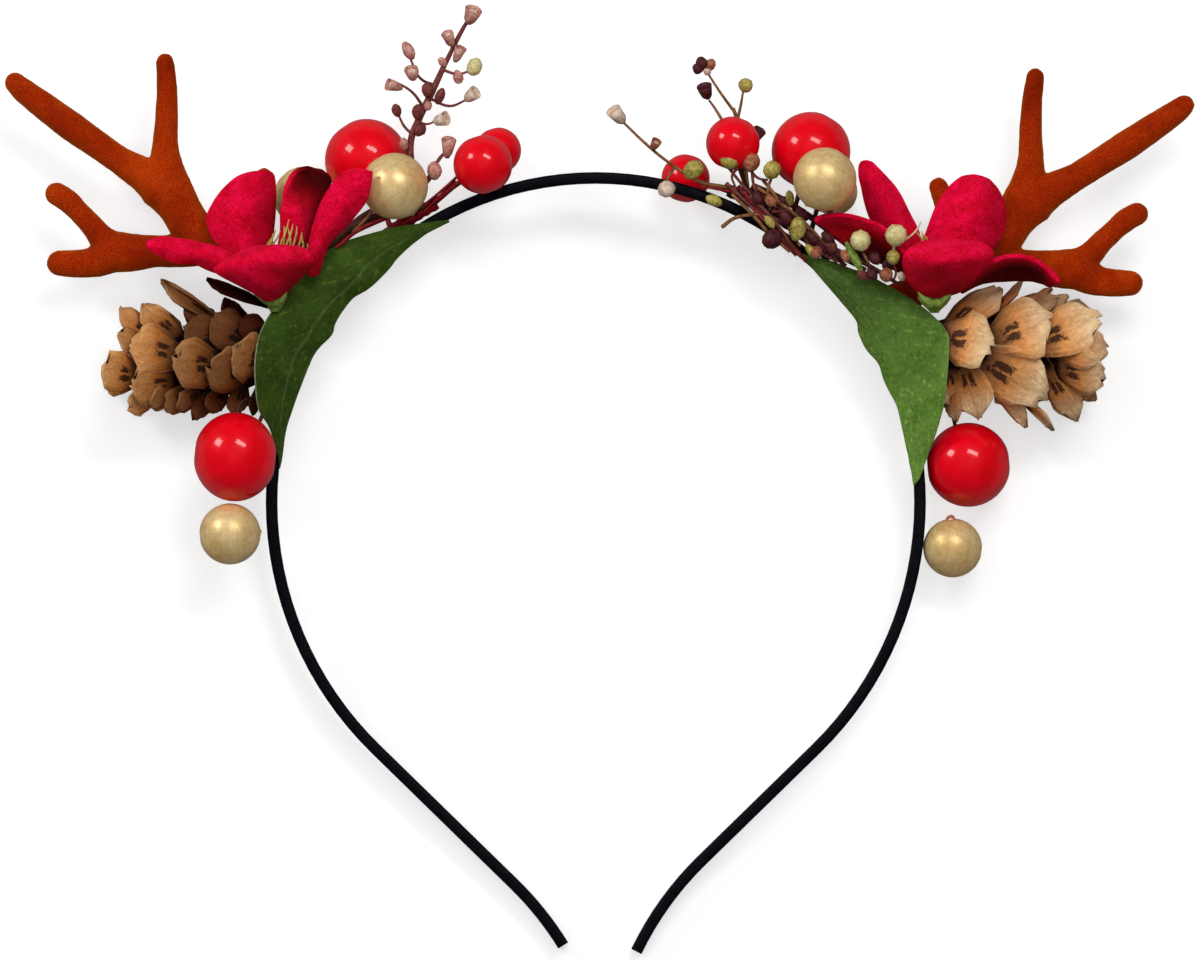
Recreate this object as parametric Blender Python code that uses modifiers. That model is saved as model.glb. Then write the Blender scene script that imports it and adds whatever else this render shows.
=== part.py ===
"""Reindeer antler headband: a satin-wrapped band with antlers, flowers, leaves, pine cones and berries."""

import math

import bpy
import bmesh
from mathutils import Matrix, Vector

MM = 0.001
SEAT_GAP = 0.3

# The band is a hoop in its own plane: x to its right, y to its crown, z to its front, all in mm.
BAND_CENTRE = (-0.7, -4.4)
BAND_THICK = 2.2
BAND_WIDTH = 5.0
BAND_ROUND = 0.4
CROWN_RADIUS = 61.6
SIDE_RADIUS = 65.5
SIDE_TURN = 45.7
TIP_RADIUS = 61.0
ARC_STEP = 6.0
OUTER_RADIUS = CROWN_RADIUS + BAND_THICK / 2

# Lying on its back it touches the ground with its tips and its rear beads, so its plane is tilted.
REST_TILT = 4.66
TIP_Y = -90.0
REST_LIFT = 9.834
REST_SHIFT = (0.0, 0.54)

COLOURS = {
    "satin": ((0.004, 0.005, 0.012), 0.35, 0.0),
    "flock": ((0.24, 0.065, 0.012), 0.95, 0.0),
    "felt_red": ((0.60, 0.012, 0.045), 0.9, 0.0),
    "leaf_cloth": ((0.06, 0.17, 0.03), 0.8, 0.0),
    "calyx_green": ((0.30, 0.42, 0.08), 0.6, 0.0),
    "stamen_gold": ((0.62, 0.42, 0.06), 0.6, 0.0),
    "cone_wood": ((0.33, 0.17, 0.08), 0.75, 0.0),
    "berry_red": ((0.70, 0.003, 0.008), 0.12, 0.0),
    "bead_gold": ((0.58, 0.42, 0.18), 0.38, 0.8),
    "wire_brown": ((0.07, 0.02, 0.012), 0.5, 0.0),
    "bud_tan": ((0.42, 0.26, 0.16), 0.55, 0.0),
}

for old in list(bpy.data.objects):
    bpy.data.objects.remove(old)

assembly = bpy.data.collections.new("AntlerHeadband")
bpy.context.scene.collection.children.link(assembly)
helpers = bpy.data.collections.new("Helpers")
bpy.context.scene.collection.children.link(helpers)

frame = bpy.data.objects.new("BandFrame", None)
assembly.objects.link(frame)
frame.rotation_euler = (math.radians(REST_TILT), 0, 0)
frame.location = (REST_SHIFT[0] * MM, REST_SHIFT[1] * MM, REST_LIFT * MM)


def make_material(name):
    colour, roughness, metallic = COLOURS[name]
    material = bpy.data.materials.new(name)
    material.use_nodes = True
    shader = material.node_tree.nodes["Principled BSDF"]
    shader.inputs["Base Color"].default_value = (*colour, 1)
    shader.inputs["Roughness"].default_value = roughness
    shader.inputs["Metallic"].default_value = metallic
    material.diffuse_color = (*colour, 1)
    return material


MATERIALS = {name: make_material(name) for name in COLOURS}


def vec(x, y, z=0.0):
    return Vector((x, y, z)) * MM


def ground_z(y):
    """The ground's height in the band's own frame, in mm, under a point at y."""
    return -BAND_WIDTH / 2 - (y - TIP_Y) * math.tan(math.radians(REST_TILT))


def around_band(angle, outside, z=0.0):
    """A point that lies `outside` mm beyond the crown's outer face, at `angle` degrees from +x."""
    reach = OUTER_RADIUS + outside
    turn = math.radians(angle)
    return vec(BAND_CENTRE[0] + reach * math.cos(turn), BAND_CENTRE[1] + reach * math.sin(turn), z)


def add_object(name, data, material, group=assembly):
    obj = bpy.data.objects.new(name, data)
    group.objects.link(obj)
    obj.parent = frame
    if not data.materials:
        data.materials.append(MATERIALS[material])
    return obj


def mesh_object(name, bm, material, group=assembly, smooth=True):
    data = bpy.data.meshes.new(name)
    bm.to_mesh(data)
    bm.free()
    obj = add_object(name, data, material, group)
    if smooth:
        data.shade_smooth()
        data.set_sharp_from_angle(angle=math.radians(40))
    return obj


def tube(name, points, radius, material, sides=6):
    """A wire through the points."""
    curve = bpy.data.curves.new(name, "CURVE")
    curve.dimensions = "3D"
    curve.bevel_depth = radius * MM
    curve.bevel_resolution = (sides - 4) // 2
    curve.use_fill_caps = True
    spline = curve.splines.new("POLY")
    spline.points.add(len(points) - 1)
    for knot, point in zip(spline.points, points):
        knot.co = (*point, 1)
    return add_object(name, curve, material)


def curve_to_mesh(obj):
    """Replaces a curve object with a mesh object whose end caps are welded on."""
    graph = bpy.context.evaluated_depsgraph_get()
    data = bpy.data.meshes.new_from_object(obj.evaluated_get(graph))
    bm = bmesh.new()
    bm.from_mesh(data)
    bmesh.ops.remove_doubles(bm, verts=bm.verts, dist=0.00001)
    bm.to_mesh(data)
    bm.free()
    solid = bpy.data.objects.new(obj.name, data)
    group = obj.users_collection[0]
    group.objects.link(solid)
    solid.parent = obj.parent
    name = obj.name
    bpy.data.objects.remove(obj)
    solid.name = name
    return solid


def fuse(name, pieces, material):
    """Joins overlapping closed pieces into one body, the first of them carrying the union."""
    group = bpy.data.collections.new(name + "_pieces")
    helpers.children.link(group)
    body = None
    for piece in pieces:
        if piece.type == "CURVE":
            piece = curve_to_mesh(piece)
        for holder in list(piece.users_collection):
            holder.objects.unlink(piece)
        if body is None:
            assembly.objects.link(piece)
            body = piece
            continue
        group.objects.link(piece)
        piece.hide_render = True
        piece.display_type = "WIRE"
    body.name = name
    body.parent = frame
    body.data.materials.clear()
    body.data.materials.append(MATERIALS[material])
    union = body.modifiers.new("Union", "BOOLEAN")
    union.operation = "UNION"
    union.operand_type = "COLLECTION"
    union.collection = group
    union.solver = "EXACT"
    return body


def ball_mesh(bm, centre, radius, around=12, rings=8, stretch=1.0):
    place = Matrix.Translation(centre) @ Matrix.Diagonal((1, stretch, 1, 1))
    bmesh.ops.create_uvsphere(bm, u_segments=around, v_segments=rings, radius=radius * MM, matrix=place)


def bud(name, centre, radius):
    bm = bmesh.new()
    ball_mesh(bm, centre, radius, 8, 5)
    return mesh_object(name, bm, "bud_tan", helpers)


# Band

BAND_SIDES = [
    # side, straight, tip_turn
    (-1, 36.8, 14.0),
    (1, 30.4, 20.0),
]


def band_stations(straight, tip_turn):
    """(x, y, normal_x, normal_y) from the crown to one tip, for the side at +x."""
    stations = []

    def on_arc(centre_x, centre_y, radius, turn):
        across = (math.sin(math.radians(turn)), math.cos(math.radians(turn)))
        stations.append((centre_x + radius * across[0], centre_y + radius * across[1], *across))

    for step in range(15):
        on_arc(0, 0, CROWN_RADIUS, ARC_STEP * (step + 0.5))
    side_steps = 8
    for step in range(side_steps + 1):
        on_arc(CROWN_RADIUS - SIDE_RADIUS, 0, SIDE_RADIUS, 90 + SIDE_TURN * step / side_steps)
    x, y, across_x, across_y = stations[-1]
    x += straight * across_y
    y -= straight * across_x
    centre_x = x + across_x * TIP_RADIUS
    centre_y = y + across_y * TIP_RADIUS
    tip_steps = 4
    for step in range(tip_steps + 1):
        on_arc(centre_x, centre_y, -TIP_RADIUS, 90 + SIDE_TURN - tip_turn * step / tip_steps)
    return stations


def round_tip(station, half):
    """Three points that close a tip of the band, from its outer face to its inner face."""
    x, y, across_x, across_y = station
    ahead = (across_y, -across_x)
    for turn in (45, 90, 135):
        out = half * math.cos(math.radians(turn))
        on = half * math.sin(math.radians(turn))
        yield (x + across_x * out + ahead[0] * on, y + across_y * out + ahead[1] * on)


def build_band():
    half = BAND_THICK / 2 - BAND_ROUND
    outer, inner, ends = {}, {}, {}
    for side, straight, tip_turn in BAND_SIDES:
        stations = band_stations(straight, tip_turn)
        outer[side] = [(side * (x + nx * half), y + ny * half) for x, y, nx, ny in stations]
        inner[side] = [(side * (x - nx * half), y - ny * half) for x, y, nx, ny in stations]
        ends[side] = [(side * x, y) for x, y in round_tip(stations[-1], half)]
    outline = outer[-1][::-1] + outer[1] + ends[1] + inner[1][::-1] + inner[-1] + ends[-1][::-1]
    curve = bpy.data.curves.new("band", "CURVE")
    curve.dimensions = "2D"
    curve.fill_mode = "BOTH"
    curve.extrude = (BAND_WIDTH / 2 - BAND_ROUND) * MM
    curve.bevel_depth = BAND_ROUND * MM
    curve.bevel_resolution = 0
    spline = curve.splines.new("POLY")
    spline.points.add(len(outline) - 1)
    spline.use_cyclic_u = True
    for point, (x, y) in zip(spline.points, outline):
        point.co = (*vec(x + BAND_CENTRE[0], y + BAND_CENTRE[1]), 1)
    band = add_object("band", curve, "satin")
    return curve_to_mesh(band)


build_band()

# Antlers: one branching tree of round limbs, pressed flat, and its mirror image turned a little.

ANTLER_FLATNESS = 0.72
ANTLER_Z = -2.0
ANTLER_TREE = [
    # limb, grows_from, x, y, radius; the foot's place is worked out on the band
    ("foot", None, None, None, 2.6),
    ("trunk", "foot", -68.5, 41.8, 3.6),
    ("crotch", "trunk", -76.8, 46.4, 4.4),
    ("neck", "crotch", -80.0, 52.8, 4.0),
    ("fork_high", "neck", -83.2, 58.4, 3.9),
    ("long_low", "fork_high", -93.0, 61.4, 3.0),
    ("long_mid", "long_low", -101.0, 67.4, 2.7),
    ("long_end", "long_mid", -108.5, 73.4, 2.3),
    ("long_tip", "long_end", -113.2, 76.9, 1.9),
    ("up_low", "fork_high", -82.0, 68.0, 2.6),
    ("up_mid", "up_low", -82.0, 75.0, 2.2),
    ("up_tip", "up_mid", -82.3, 80.8, 2.0),
    ("branch", "crotch", -86.2, 43.1, 3.2),
    ("fork_low", "branch", -93.2, 44.2, 3.6),
    ("curl_low", "fork_low", -99.0, 50.6, 2.5),
    ("curl_tip", "curl_low", -105.2, 54.6, 2.0),
    ("stub_low", "fork_low", -99.2, 41.2, 2.6),
    ("stub_tip", "stub_low", -104.8, 40.9, 2.2),
    ("spur_low", "trunk", -66.4, 51.0, 2.3),
    ("spur_tip", "spur_low", -63.9, 58.8, 1.9),
]
RIGHT_ANTLER_TURN = -3.0
RIGHT_ANTLER_PIVOT = (81.4, 47.7)
RIGHT_ANTLER_SHIFT = (-1.4, -2.7)
ANTLERS = [
    # name, mirrored, foot_angle
    ("antler_left", False, 143.5),
    ("antler_right", True, 36.0),
]
FOOT_SLANT = 0.1


def build_antler(name, mirrored, foot_angle):
    turn = Matrix.Rotation(math.radians(RIGHT_ANTLER_TURN), 2)
    pivot = Vector(RIGHT_ANTLER_PIVOT)
    row_of = {row[0]: index for index, row in enumerate(ANTLER_TREE)}
    bm = bmesh.new()
    joints = []
    for limb, _, x, y, _ in ANTLER_TREE:
        if limb == "foot":
            joints.append(bm.verts.new(around_band(foot_angle, SEAT_GAP + FOOT_SLANT)))
            continue
        if mirrored:
            x, y = turn @ (Vector((-x, y)) - pivot) + pivot + Vector(RIGHT_ANTLER_SHIFT)
        joints.append(bm.verts.new(vec(x, y)))
    for limb, parent, *_ in ANTLER_TREE:
        if parent:
            bm.edges.new((joints[row_of[parent]], joints[row_of[limb]]))
    data = bpy.data.meshes.new(name)
    bm.to_mesh(data)
    bm.free()
    antler = add_object(name, data, "flock")
    antler.location = vec(0, 0, ANTLER_Z)
    antler.scale = (1, 1, ANTLER_FLATNESS)
    skin = antler.modifiers.new("Skin", "SKIN")
    skin.use_smooth_shade = True
    for index, row in enumerate(ANTLER_TREE):
        limb = data.skin_vertices[0].data[index]
        limb.radius = (row[-1] * MM, row[-1] * MM)
        limb.use_root = index == 0
    smooth = antler.modifiers.new("Smooth", "SUBSURF")
    smooth.levels = 1
    smooth.render_levels = 1
    return antler


for row in ANTLERS:
    build_antler(*row)

# Flowers: each petal is a felt sheet that leaves its base, widens, and closes in a round tip.

PETAL_THICK = 1.1
PETAL_BASE_SHARE = 0.2
PETAL_WIDEST = 0.62
LEFT_HEART = (-61.5, 36.0, 8.5)
RIGHT_HEART = (63.4, 35.8, 8.5)

PETALS = [
    # name, heart, (base from the heart), (tip), (face), width, cup, bow
    ("petal_left_upright", LEFT_HEART, (-3.0, 1.8, -1.5), (-70.0, 58.4, 5.0), (0.15, 0, 1), 13.5, 0.25, -0.10),
    ("petal_left_side", LEFT_HEART, (-3.2, -1.2, 1.0), (-86.4, 44.0, 9.0), (0.2, 0.85, 0.5), 12.5, 0.10, -0.06),
    ("petal_left_front", LEFT_HEART, (-0.4, 0.0, 3.0), (-64.5, 45.0, 18.5), (0, 0.7, -0.7), 18.5, 0.30, -0.12),
    ("petal_left_right", LEFT_HEART, (2.6, 0.2, 0.6), (-44.2, 59.6, 13.2), (-0.45, 0, 0.9), 11.0, 0.25, -0.10),
    ("petal_left_back", LEFT_HEART, (2.1, 1.2, -2.5), (-55.8, 58.6, -0.4), (-0.1, 0.1, 1), 11.0, 0.25, -0.08),
    ("petal_right_upright", RIGHT_HEART, (2.8, 1.8, -1.6), (72.2, 57.6, 4.0), (0, 0, 1), 15.0, 0.25, -0.10),
    ("petal_right_narrow", RIGHT_HEART, (-1.3, 0.9, -1.7), (51.0, 60.4, 1.5), (0.3, 0.1, 1), 8.5, 0.30, -0.10),
    ("petal_right_side", RIGHT_HEART, (-2.8, 0.1, 0.8), (40.8, 46.2, 9.5), (0, 0.9, -0.45), 11.5, 0.10, 0.10),
    ("petal_right_front", RIGHT_HEART, (-0.2, 0.0, 3.0), (66.4, 45.6, 18.5), (0, 0.7, -0.7), 18.0, 0.30, -0.12),
    ("petal_right_droop", RIGHT_HEART, (3.5, -1.0, 0.2), (87.6, 38.4, 10.0), (0, 0.95, -0.3), 11.5, 0.10, 0.22),
]


def petal_width_share(along):
    """How wide a petal is at a share of its length, from its base (0) to its tip (1)."""
    if along < PETAL_WIDEST:
        rise = math.sin(math.pi / 2 * along / PETAL_WIDEST)
        return PETAL_BASE_SHARE + (1 - PETAL_BASE_SHARE) * rise
    return math.sqrt(1 - ((along - PETAL_WIDEST) / (1.04 - PETAL_WIDEST)) ** 2)


def build_petal(name, heart, offset, tip, face, width, cup, bow):
    start = Vector(heart) + Vector(offset)
    span = Vector(tip) - start
    along_axis = span.normalized()
    out_axis = Vector(face)
    out_axis = (out_axis - along_axis * out_axis.dot(along_axis)).normalized()
    side_axis = along_axis.cross(out_axis)
    bm = bmesh.new()
    bmesh.ops.create_grid(bm, x_segments=5, y_segments=7, size=1)
    for vert in bm.verts:
        across = vert.co.x
        along = (vert.co.y + 1) / 2
        half = width / 2 * petal_width_share(along)
        rise = cup * half * across**2 + bow * span.length * 4 * along * (1 - along)
        spot = start + span * along + side_axis * half * across + out_axis * rise
        vert.co = spot * MM
    petal = mesh_object(name, bm, "felt_red")
    wall = petal.modifiers.new("Wall", "SOLIDIFY")
    wall.thickness = PETAL_THICK * MM
    wall.offset = 0
    return petal


for row in PETALS:
    build_petal(*row)

STAMENS = [
    # lean_x, length, lean_z
    (-3.2, 8.5, 1.0),
    (-1.4, 10.0, 2.0),
    (0.6, 10.5, 0.6),
    (2.4, 9.5, 1.8),
]


def build_calyx(name, heart):
    """A green cup below the petals, with a short stalk end."""
    bm = bmesh.new()
    place = Matrix.Translation(vec(heart[0], heart[1] - 2.6, heart[2])) @ Matrix.Rotation(math.pi / 2, 4, "X")
    bmesh.ops.create_cone(
        bm, cap_ends=True, segments=10, radius1=1.0 * MM, radius2=2.4 * MM, depth=3.6 * MM, matrix=place
    )
    bmesh.ops.recalc_face_normals(bm, faces=bm.faces)
    bmesh.ops.rotate(
        bm, verts=bm.verts, cent=vec(heart[0], heart[1] - 2.6, heart[2]), matrix=Matrix.Rotation(math.pi, 3, "X")
    )
    mesh_object(name, bm, "calyx_green")


def build_stamens(name, heart):
    """Thin filaments that leave one foot in the flower's heart."""
    bm = bmesh.new()
    foot = vec(heart[0], heart[1] + 0.4, heart[2])
    ball_mesh(bm, foot, 1.0, 8, 5)
    pieces = [mesh_object(name, bm, "stamen_gold")]
    for number, (lean_x, length, lean_z) in enumerate(STAMENS):
        end = foot + vec(lean_x, length, lean_z)
        points = [foot, foot.lerp(end, 0.5) + vec(lean_x * 0.1, 0, 0.3), end]
        pieces.append(tube(f"{name}_{number}", points, 0.3, "stamen_gold"))
    fuse(name, pieces, "stamen_gold")


for side, heart in (("left", LEFT_HEART), ("right", RIGHT_HEART)):
    build_calyx("calyx_" + side, heart)
    build_stamens("stamens_" + side, heart)

# Leaves: cloth sheets that cross the band's front, each row a section from the outer to the inner edge.

LEAF_THICK = 1.0
LEAVES = {
    "leaf_left": [
        # outer_x, outer_y, outer_z, inner_x, inner_y, inner_z
        (-28.4, 49.6, 3.9, -28.2, 48.8, 3.9),
        (-36.8, 48.1, 4.2, -32.4, 46.0, 3.7),
        (-43.0, 46.7, 4.2, -38.3, 41.6, 3.6),
        (-48.2, 45.0, 4.2, -43.4, 36.3, 3.6),
        (-54.6, 39.0, 4.2, -49.2, 30.6, 3.6),
        (-62.0, 32.4, 6.5, -52.2, 26.2, 3.6),
        (-65.1, 24.5, 10.2, -54.6, 22.0, 3.6),
        (-65.4, 17.9, 10.8, -56.6, 17.4, 3.6),
        (-64.2, 12.4, 7.6, -58.6, 12.0, 3.5),
        (-61.9, 7.0, 3.6, -59.6, 7.0, 3.5),
        (-60.8, 1.9, 3.4, -60.2, 1.9, 3.4),
    ],
    "leaf_right": [
        (38.0, 43.2, 3.9, 37.8, 42.4, 3.9),
        (44.0, 41.6, 4.0, 40.6, 38.9, 3.7),
        (52.0, 38.6, 4.0, 43.8, 35.6, 3.6),
        (57.0, 35.3, 4.1, 47.0, 32.2, 3.6),
        (62.6, 32.4, 6.5, 49.2, 28.2, 3.6),
        (65.8, 26.8, 9.4, 51.0, 24.2, 3.6),
        (66.2, 20.9, 10.8, 53.4, 19.4, 3.6),
        (65.2, 12.4, 8.4, 56.6, 12.8, 3.5),
        (62.6, 4.4, 4.4, 58.4, 4.0, 3.5),
        (60.6, -1.9, 3.5, 60.0, -1.9, 3.5),
    ],
}
LEAF_KEEL = 0.08


def build_leaf(name):
    rows = LEAVES[name]
    bm = bmesh.new()
    bmesh.ops.create_grid(bm, x_segments=4, y_segments=len(rows) - 1, size=1)
    for vert in bm.verts:
        row = rows[round((vert.co.y + 1) / 2 * (len(rows) - 1))]
        share = (vert.co.x + 1) / 2
        outer = Vector(row[:3])
        inner = Vector(row[3:])
        fold = LEAF_KEEL * (outer - inner).length * (1 - abs(vert.co.x))
        vert.co = (outer.lerp(inner, share) + Vector((0, 0, fold))) * MM
    leaf = mesh_object(name, bm, "leaf_cloth")
    wall = leaf.modifiers.new("Wall", "SOLIDIFY")
    wall.thickness = LEAF_THICK * MM
    wall.offset = 0
    return leaf


for name in LEAVES:
    build_leaf(name)

# Pine cones: a turned body whose rings of scales step out to blunt points, its stalk's end on the band.

CONE_STALK = 1.2
CONE_STALK_SLANT = 0.5
CONE_SCALES_ROUND = 7
CONE_NOTCH = 0.76
CONE_RINGS = [
    # root_along, root_radius, tip_along, tip_radius
    (6.0, 3.4, 12.5, 9.8),
    (10.5, 6.2, 18.0, 11.6),
    (15.5, 7.0, 23.0, 11.8),
    (20.5, 6.6, 28.0, 11.0),
    (25.5, 5.6, 32.5, 9.0),
    (30.0, 4.2, 36.2, 6.0),
    (34.5, 2.4, 39.4, 2.4),
]
PINECONES = [
    # name, seat_angle, z, (apex), first_turn
    ("pinecone_left", 153.0, 0.3, (-95.5, 19.2, 0.8), 10.0),
    ("pinecone_right", 27.5, 0.3, (97.0, 24.0, 0.8), 25.0),
]


def build_pinecone(name, seat_angle, z, apex, first_turn):
    """The cone is turned along +z. Every second ring's points sit over the notches of the ring before."""
    rows = [(0.0, CONE_STALK, None), (4.0, CONE_STALK, None)]
    for ring, (root_along, root_radius, tip_along, tip_radius) in enumerate(CONE_RINGS):
        rows.append((root_along, root_radius, None))
        rows.append((tip_along, tip_radius, ring))
    bm = bmesh.new()
    profile = [bm.verts.new(vec(radius, 0, along)) for along, radius, _ in rows]
    for lower, upper in zip(profile, profile[1:]):
        bm.edges.new((lower, upper))
    steps = 2 * CONE_SCALES_ROUND
    bmesh.ops.spin(
        bm, geom=bm.verts[:] + bm.edges[:], axis=(0, 0, 1), cent=(0, 0, 0), steps=steps,
        angle=2 * math.pi, use_merge=True,
    )
    ring_of = {round(along, 1): ring for along, _, ring in rows}
    for vert in bm.verts:
        ring = ring_of[round(vert.co.z / MM, 1)]
        if ring is None:
            continue
        slot = round(math.atan2(vert.co.y, vert.co.x) / (2 * math.pi / steps))
        if (slot + ring) % 2:
            vert.co.x *= CONE_NOTCH
            vert.co.y *= CONE_NOTCH
            vert.co.z -= (CONE_RINGS[ring][2] - CONE_RINGS[ring][0]) * 0.35 * MM
    bmesh.ops.holes_fill(bm, edges=bm.edges, sides=steps)
    bmesh.ops.recalc_face_normals(bm, faces=bm.faces)
    cone = mesh_object(name, bm, "cone_wood", smooth=False)
    seat = around_band(seat_angle, SEAT_GAP + CONE_STALK_SLANT, z)
    axis = vec(*apex) - seat
    turn = Matrix.Rotation(math.radians(first_turn), 4, "Z")
    cone.matrix_local = Matrix.Translation(seat) @ axis.to_track_quat("Z", "Y").to_matrix().to_4x4() @ turn
    return cone


for row in PINECONES:
    build_pinecone(*row)

# Berries and beads

BALLS = [
    # name, x, y, z, radius, stretch, material; a z of None lays the ball on the ground
    ("berry_lower_left", -69.0, 4.2, 8.3, 7.9, 1.07, "berry_red"),
    ("berry_lower_right", 70.1, 2.7, -1.0, 8.0, 1.0, "berry_red"),
    ("berry_upper_left", -44.4, 60.7, -6.0, 7.9, 1.0, "berry_red"),
    ("berry_upper_right", 40.2, 62.3, -0.9, 7.5, 1.0, "berry_red"),
    ("berry_small_left_front", -22.1, 59.6, 6.1, 5.6, 1.0, "berry_red"),
    ("berry_small_left_back", -19.3, 62.5, -3.6, 4.4, 1.0, "berry_red"),
    ("berry_mid_right", 25.3, 63.7, 3.5, 5.1, 1.0, "berry_red"),
    ("berry_small_right", 16.4, 57.3, -7.5, 4.6, 1.0, "berry_red"),
    ("bead_lower_left", -70.0, -10.4, 8.3, 5.8, 1.0, "bead_gold"),
    ("bead_lower_right", 67.1, -13.1, 0.0, 5.6, 1.0, "bead_gold"),
    ("bead_front_left", -38.8, 55.5, 6.6, 6.3, 1.0, "bead_gold"),
    ("bead_back_left", -56.3, 53.8, None, 5.8, 1.0, "bead_gold"),
    ("bead_front_right", 42.6, 56.7, 11.7, 6.0, 1.0, "bead_gold"),
    ("bead_back_right", 44.7, 54.8, None, 4.5, 1.0, "bead_gold"),
]


def ball_centre(name):
    row = next(row for row in BALLS if row[0] == name)
    x, y, z, radius = row[1:5]
    return vec(x, y, ground_z(y) + radius if z is None else z), radius


for name, _, _, _, radius, stretch, material in BALLS:
    bm = bmesh.new()
    ball_mesh(bm, ball_centre(name)[0], radius, 12, 8, stretch)
    mesh_object(name, bm, material)

# Wire bundles: a wrapped core along the band's outer face, with a wire from it to each berry it carries.

BUNDLE_RADIUS = 1.4
BUNDLES = {
    "wire_bundle_left": {
        "start": 118.0,
        "end": 136.0,
        "wires": [
            # leaves_at, ball
            (127.0, "berry_upper_left"),
            (124.5, "bead_front_left"),
            (134.0, "bead_back_left"),
            (121.5, "berry_small_left_front"),
            (119.5, "berry_small_left_back"),
        ],
    },
    "wire_bundle_right": {
        "start": 67.0,
        "end": 46.0,
        "wires": [
            (55.0, "berry_upper_right"),
            (51.0, "bead_front_right"),
            (48.0, "bead_back_right"),
            (63.0, "berry_mid_right"),
            (66.0, "berry_small_right"),
        ],
    },
}
WIRE_RADIUS = 0.5


def build_bundle(name, start, end, wires):
    lift = SEAT_GAP + BUNDLE_RADIUS
    steps = 5
    route = [around_band(start + (end - start) * step / steps, lift) for step in range(steps + 1)]
    pieces = [tube(name, route, BUNDLE_RADIUS, "wire_brown", sides=8)]
    for angle, ball in wires:
        root = around_band(angle, lift)
        centre, radius = ball_centre(ball)
        reach = (root - centre).normalized()
        tip = centre + reach * (radius + SEAT_GAP) * MM
        pieces.append(tube(f"{name}_{ball}", [root, root.lerp(tip, 0.5), tip], WIRE_RADIUS, "wire_brown"))
    fuse(name, pieces, "wire_brown")


for name, bundle in BUNDLES.items():
    build_bundle(name, bundle["start"], bundle["end"], bundle["wires"])

# Sprigs: thin twigs that end in round buds. Each twig is a route of points, its buds rows of their own.

SPRIGS = {
    "sprig_left": {
        "twigs": [
            # radius, points
            (0.65, [(-35.6, 52.2, 0.2), (-35.4, 58.5, 0.3), (-35.9, 64.4, 0.6), (-34.3, 68.4, 0.4)]),
            (0.5, [(-34.3, 68.4, 0.4), (-31.3, 73.7, 0.2), (-29.7, 77.7, 0.2), (-26.5, 84.6, 0), (-24.8, 88.0, 0)]),
            (0.4, [(-33.4, 70.2, 0.3), (-36.5, 71.0, 1.6), (-38.2, 72.9, 2.0)]),
            (0.4, [(-31.0, 74.3, 0.2), (-34.0, 76.0, -1.4), (-35.9, 80.4, -1.8)]),
            (0.4, [(-32.2, 72.1, 0.3), (-28.0, 71.6, 1.2), (-24.9, 72.4, 1.6)]),
            (0.4, [(-29.6, 77.9, 0.2), (-26.0, 77.6, 0.9), (-24.0, 78.2, 1.2)]),
        ],
        "buds": [
            # x, y, z, radius
            (-24.5, 88.5, 0.0, 1.4),
            (-38.6, 73.4, 2.0, 1.5),
            (-36.2, 81.2, -1.8, 1.4),
            (-24.2, 72.6, 1.6, 1.5),
            (-23.6, 78.4, 1.2, 1.6),
            (-32.4, 73.2, 0.4, 1.4),
            (-34.2, 68.6, 0.6, 1.4),
            (-27.6, 82.4, 0.1, 1.1),
        ],
    },
    "sprig_right_long": {
        "twigs": [
            (0.55, [(28.4, 58.0, 2.4), (24.0, 57.2, 3.4), (20.2, 56.8, 3.9), (17.0, 58.2, 4.1)]),
            (0.45, [(17.0, 58.2, 4.1), (12.6, 61.0, 4.1), (8.6, 64.0, 4.1), (3.6, 69.0, 4.1)]),
            (0.35, [(14.4, 59.8, 4.1), (12.5, 56.6, 4.5)]),
        ],
        "buds": [
            (3.4, 69.2, 4.1, 1.7),
            (10.4, 63.2, 4.3, 1.0),
            (12.5, 56.2, 4.6, 1.4),
            (18.2, 58.6, 4.3, 1.7),
            (22.2, 55.4, 4.6, 1.6),
        ],
    },
    "sprig_right_tall": {
        "twigs": [
            (0.55, [(28.5, 54.2, -2.3), (28.4, 62.0, -3.0), (26.4, 69.4, -3.0), (19.9, 78.6, -2.6)]),
            (0.4, [(25.2, 71.2, -3.0), (23.4, 72.2, -3.0), (20.6, 72.8, -2.6)]),
            (0.4, [(27.0, 67.0, -3.0), (28.0, 71.0, -2.8), (27.7, 74.4, -2.6)]),
        ],
        "buds": [
            (19.7, 78.9, -2.6, 1.8),
            (20.0, 73.0, -2.6, 1.4),
            (27.7, 74.9, -2.6, 1.4),
        ],
    },
}


def build_sprig(name, twigs, buds):
    pieces = []
    for number, (radius, points) in enumerate(twigs):
        route = [vec(*point) for point in points]
        pieces.append(tube(f"{name}_{number}", route, radius, "bud_tan"))
    for number, (x, y, z, radius) in enumerate(buds):
        pieces.append(bud(f"{name}_bud_{number}", vec(x, y, z), radius))
    fuse(name, pieces, "bud_tan")


for name, sprig in SPRIGS.items():
    build_sprig(name, sprig["twigs"], sprig["buds"])
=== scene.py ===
import math
import random

import bmesh
import bpy
from mathutils import Matrix, Vector, noise


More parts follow.
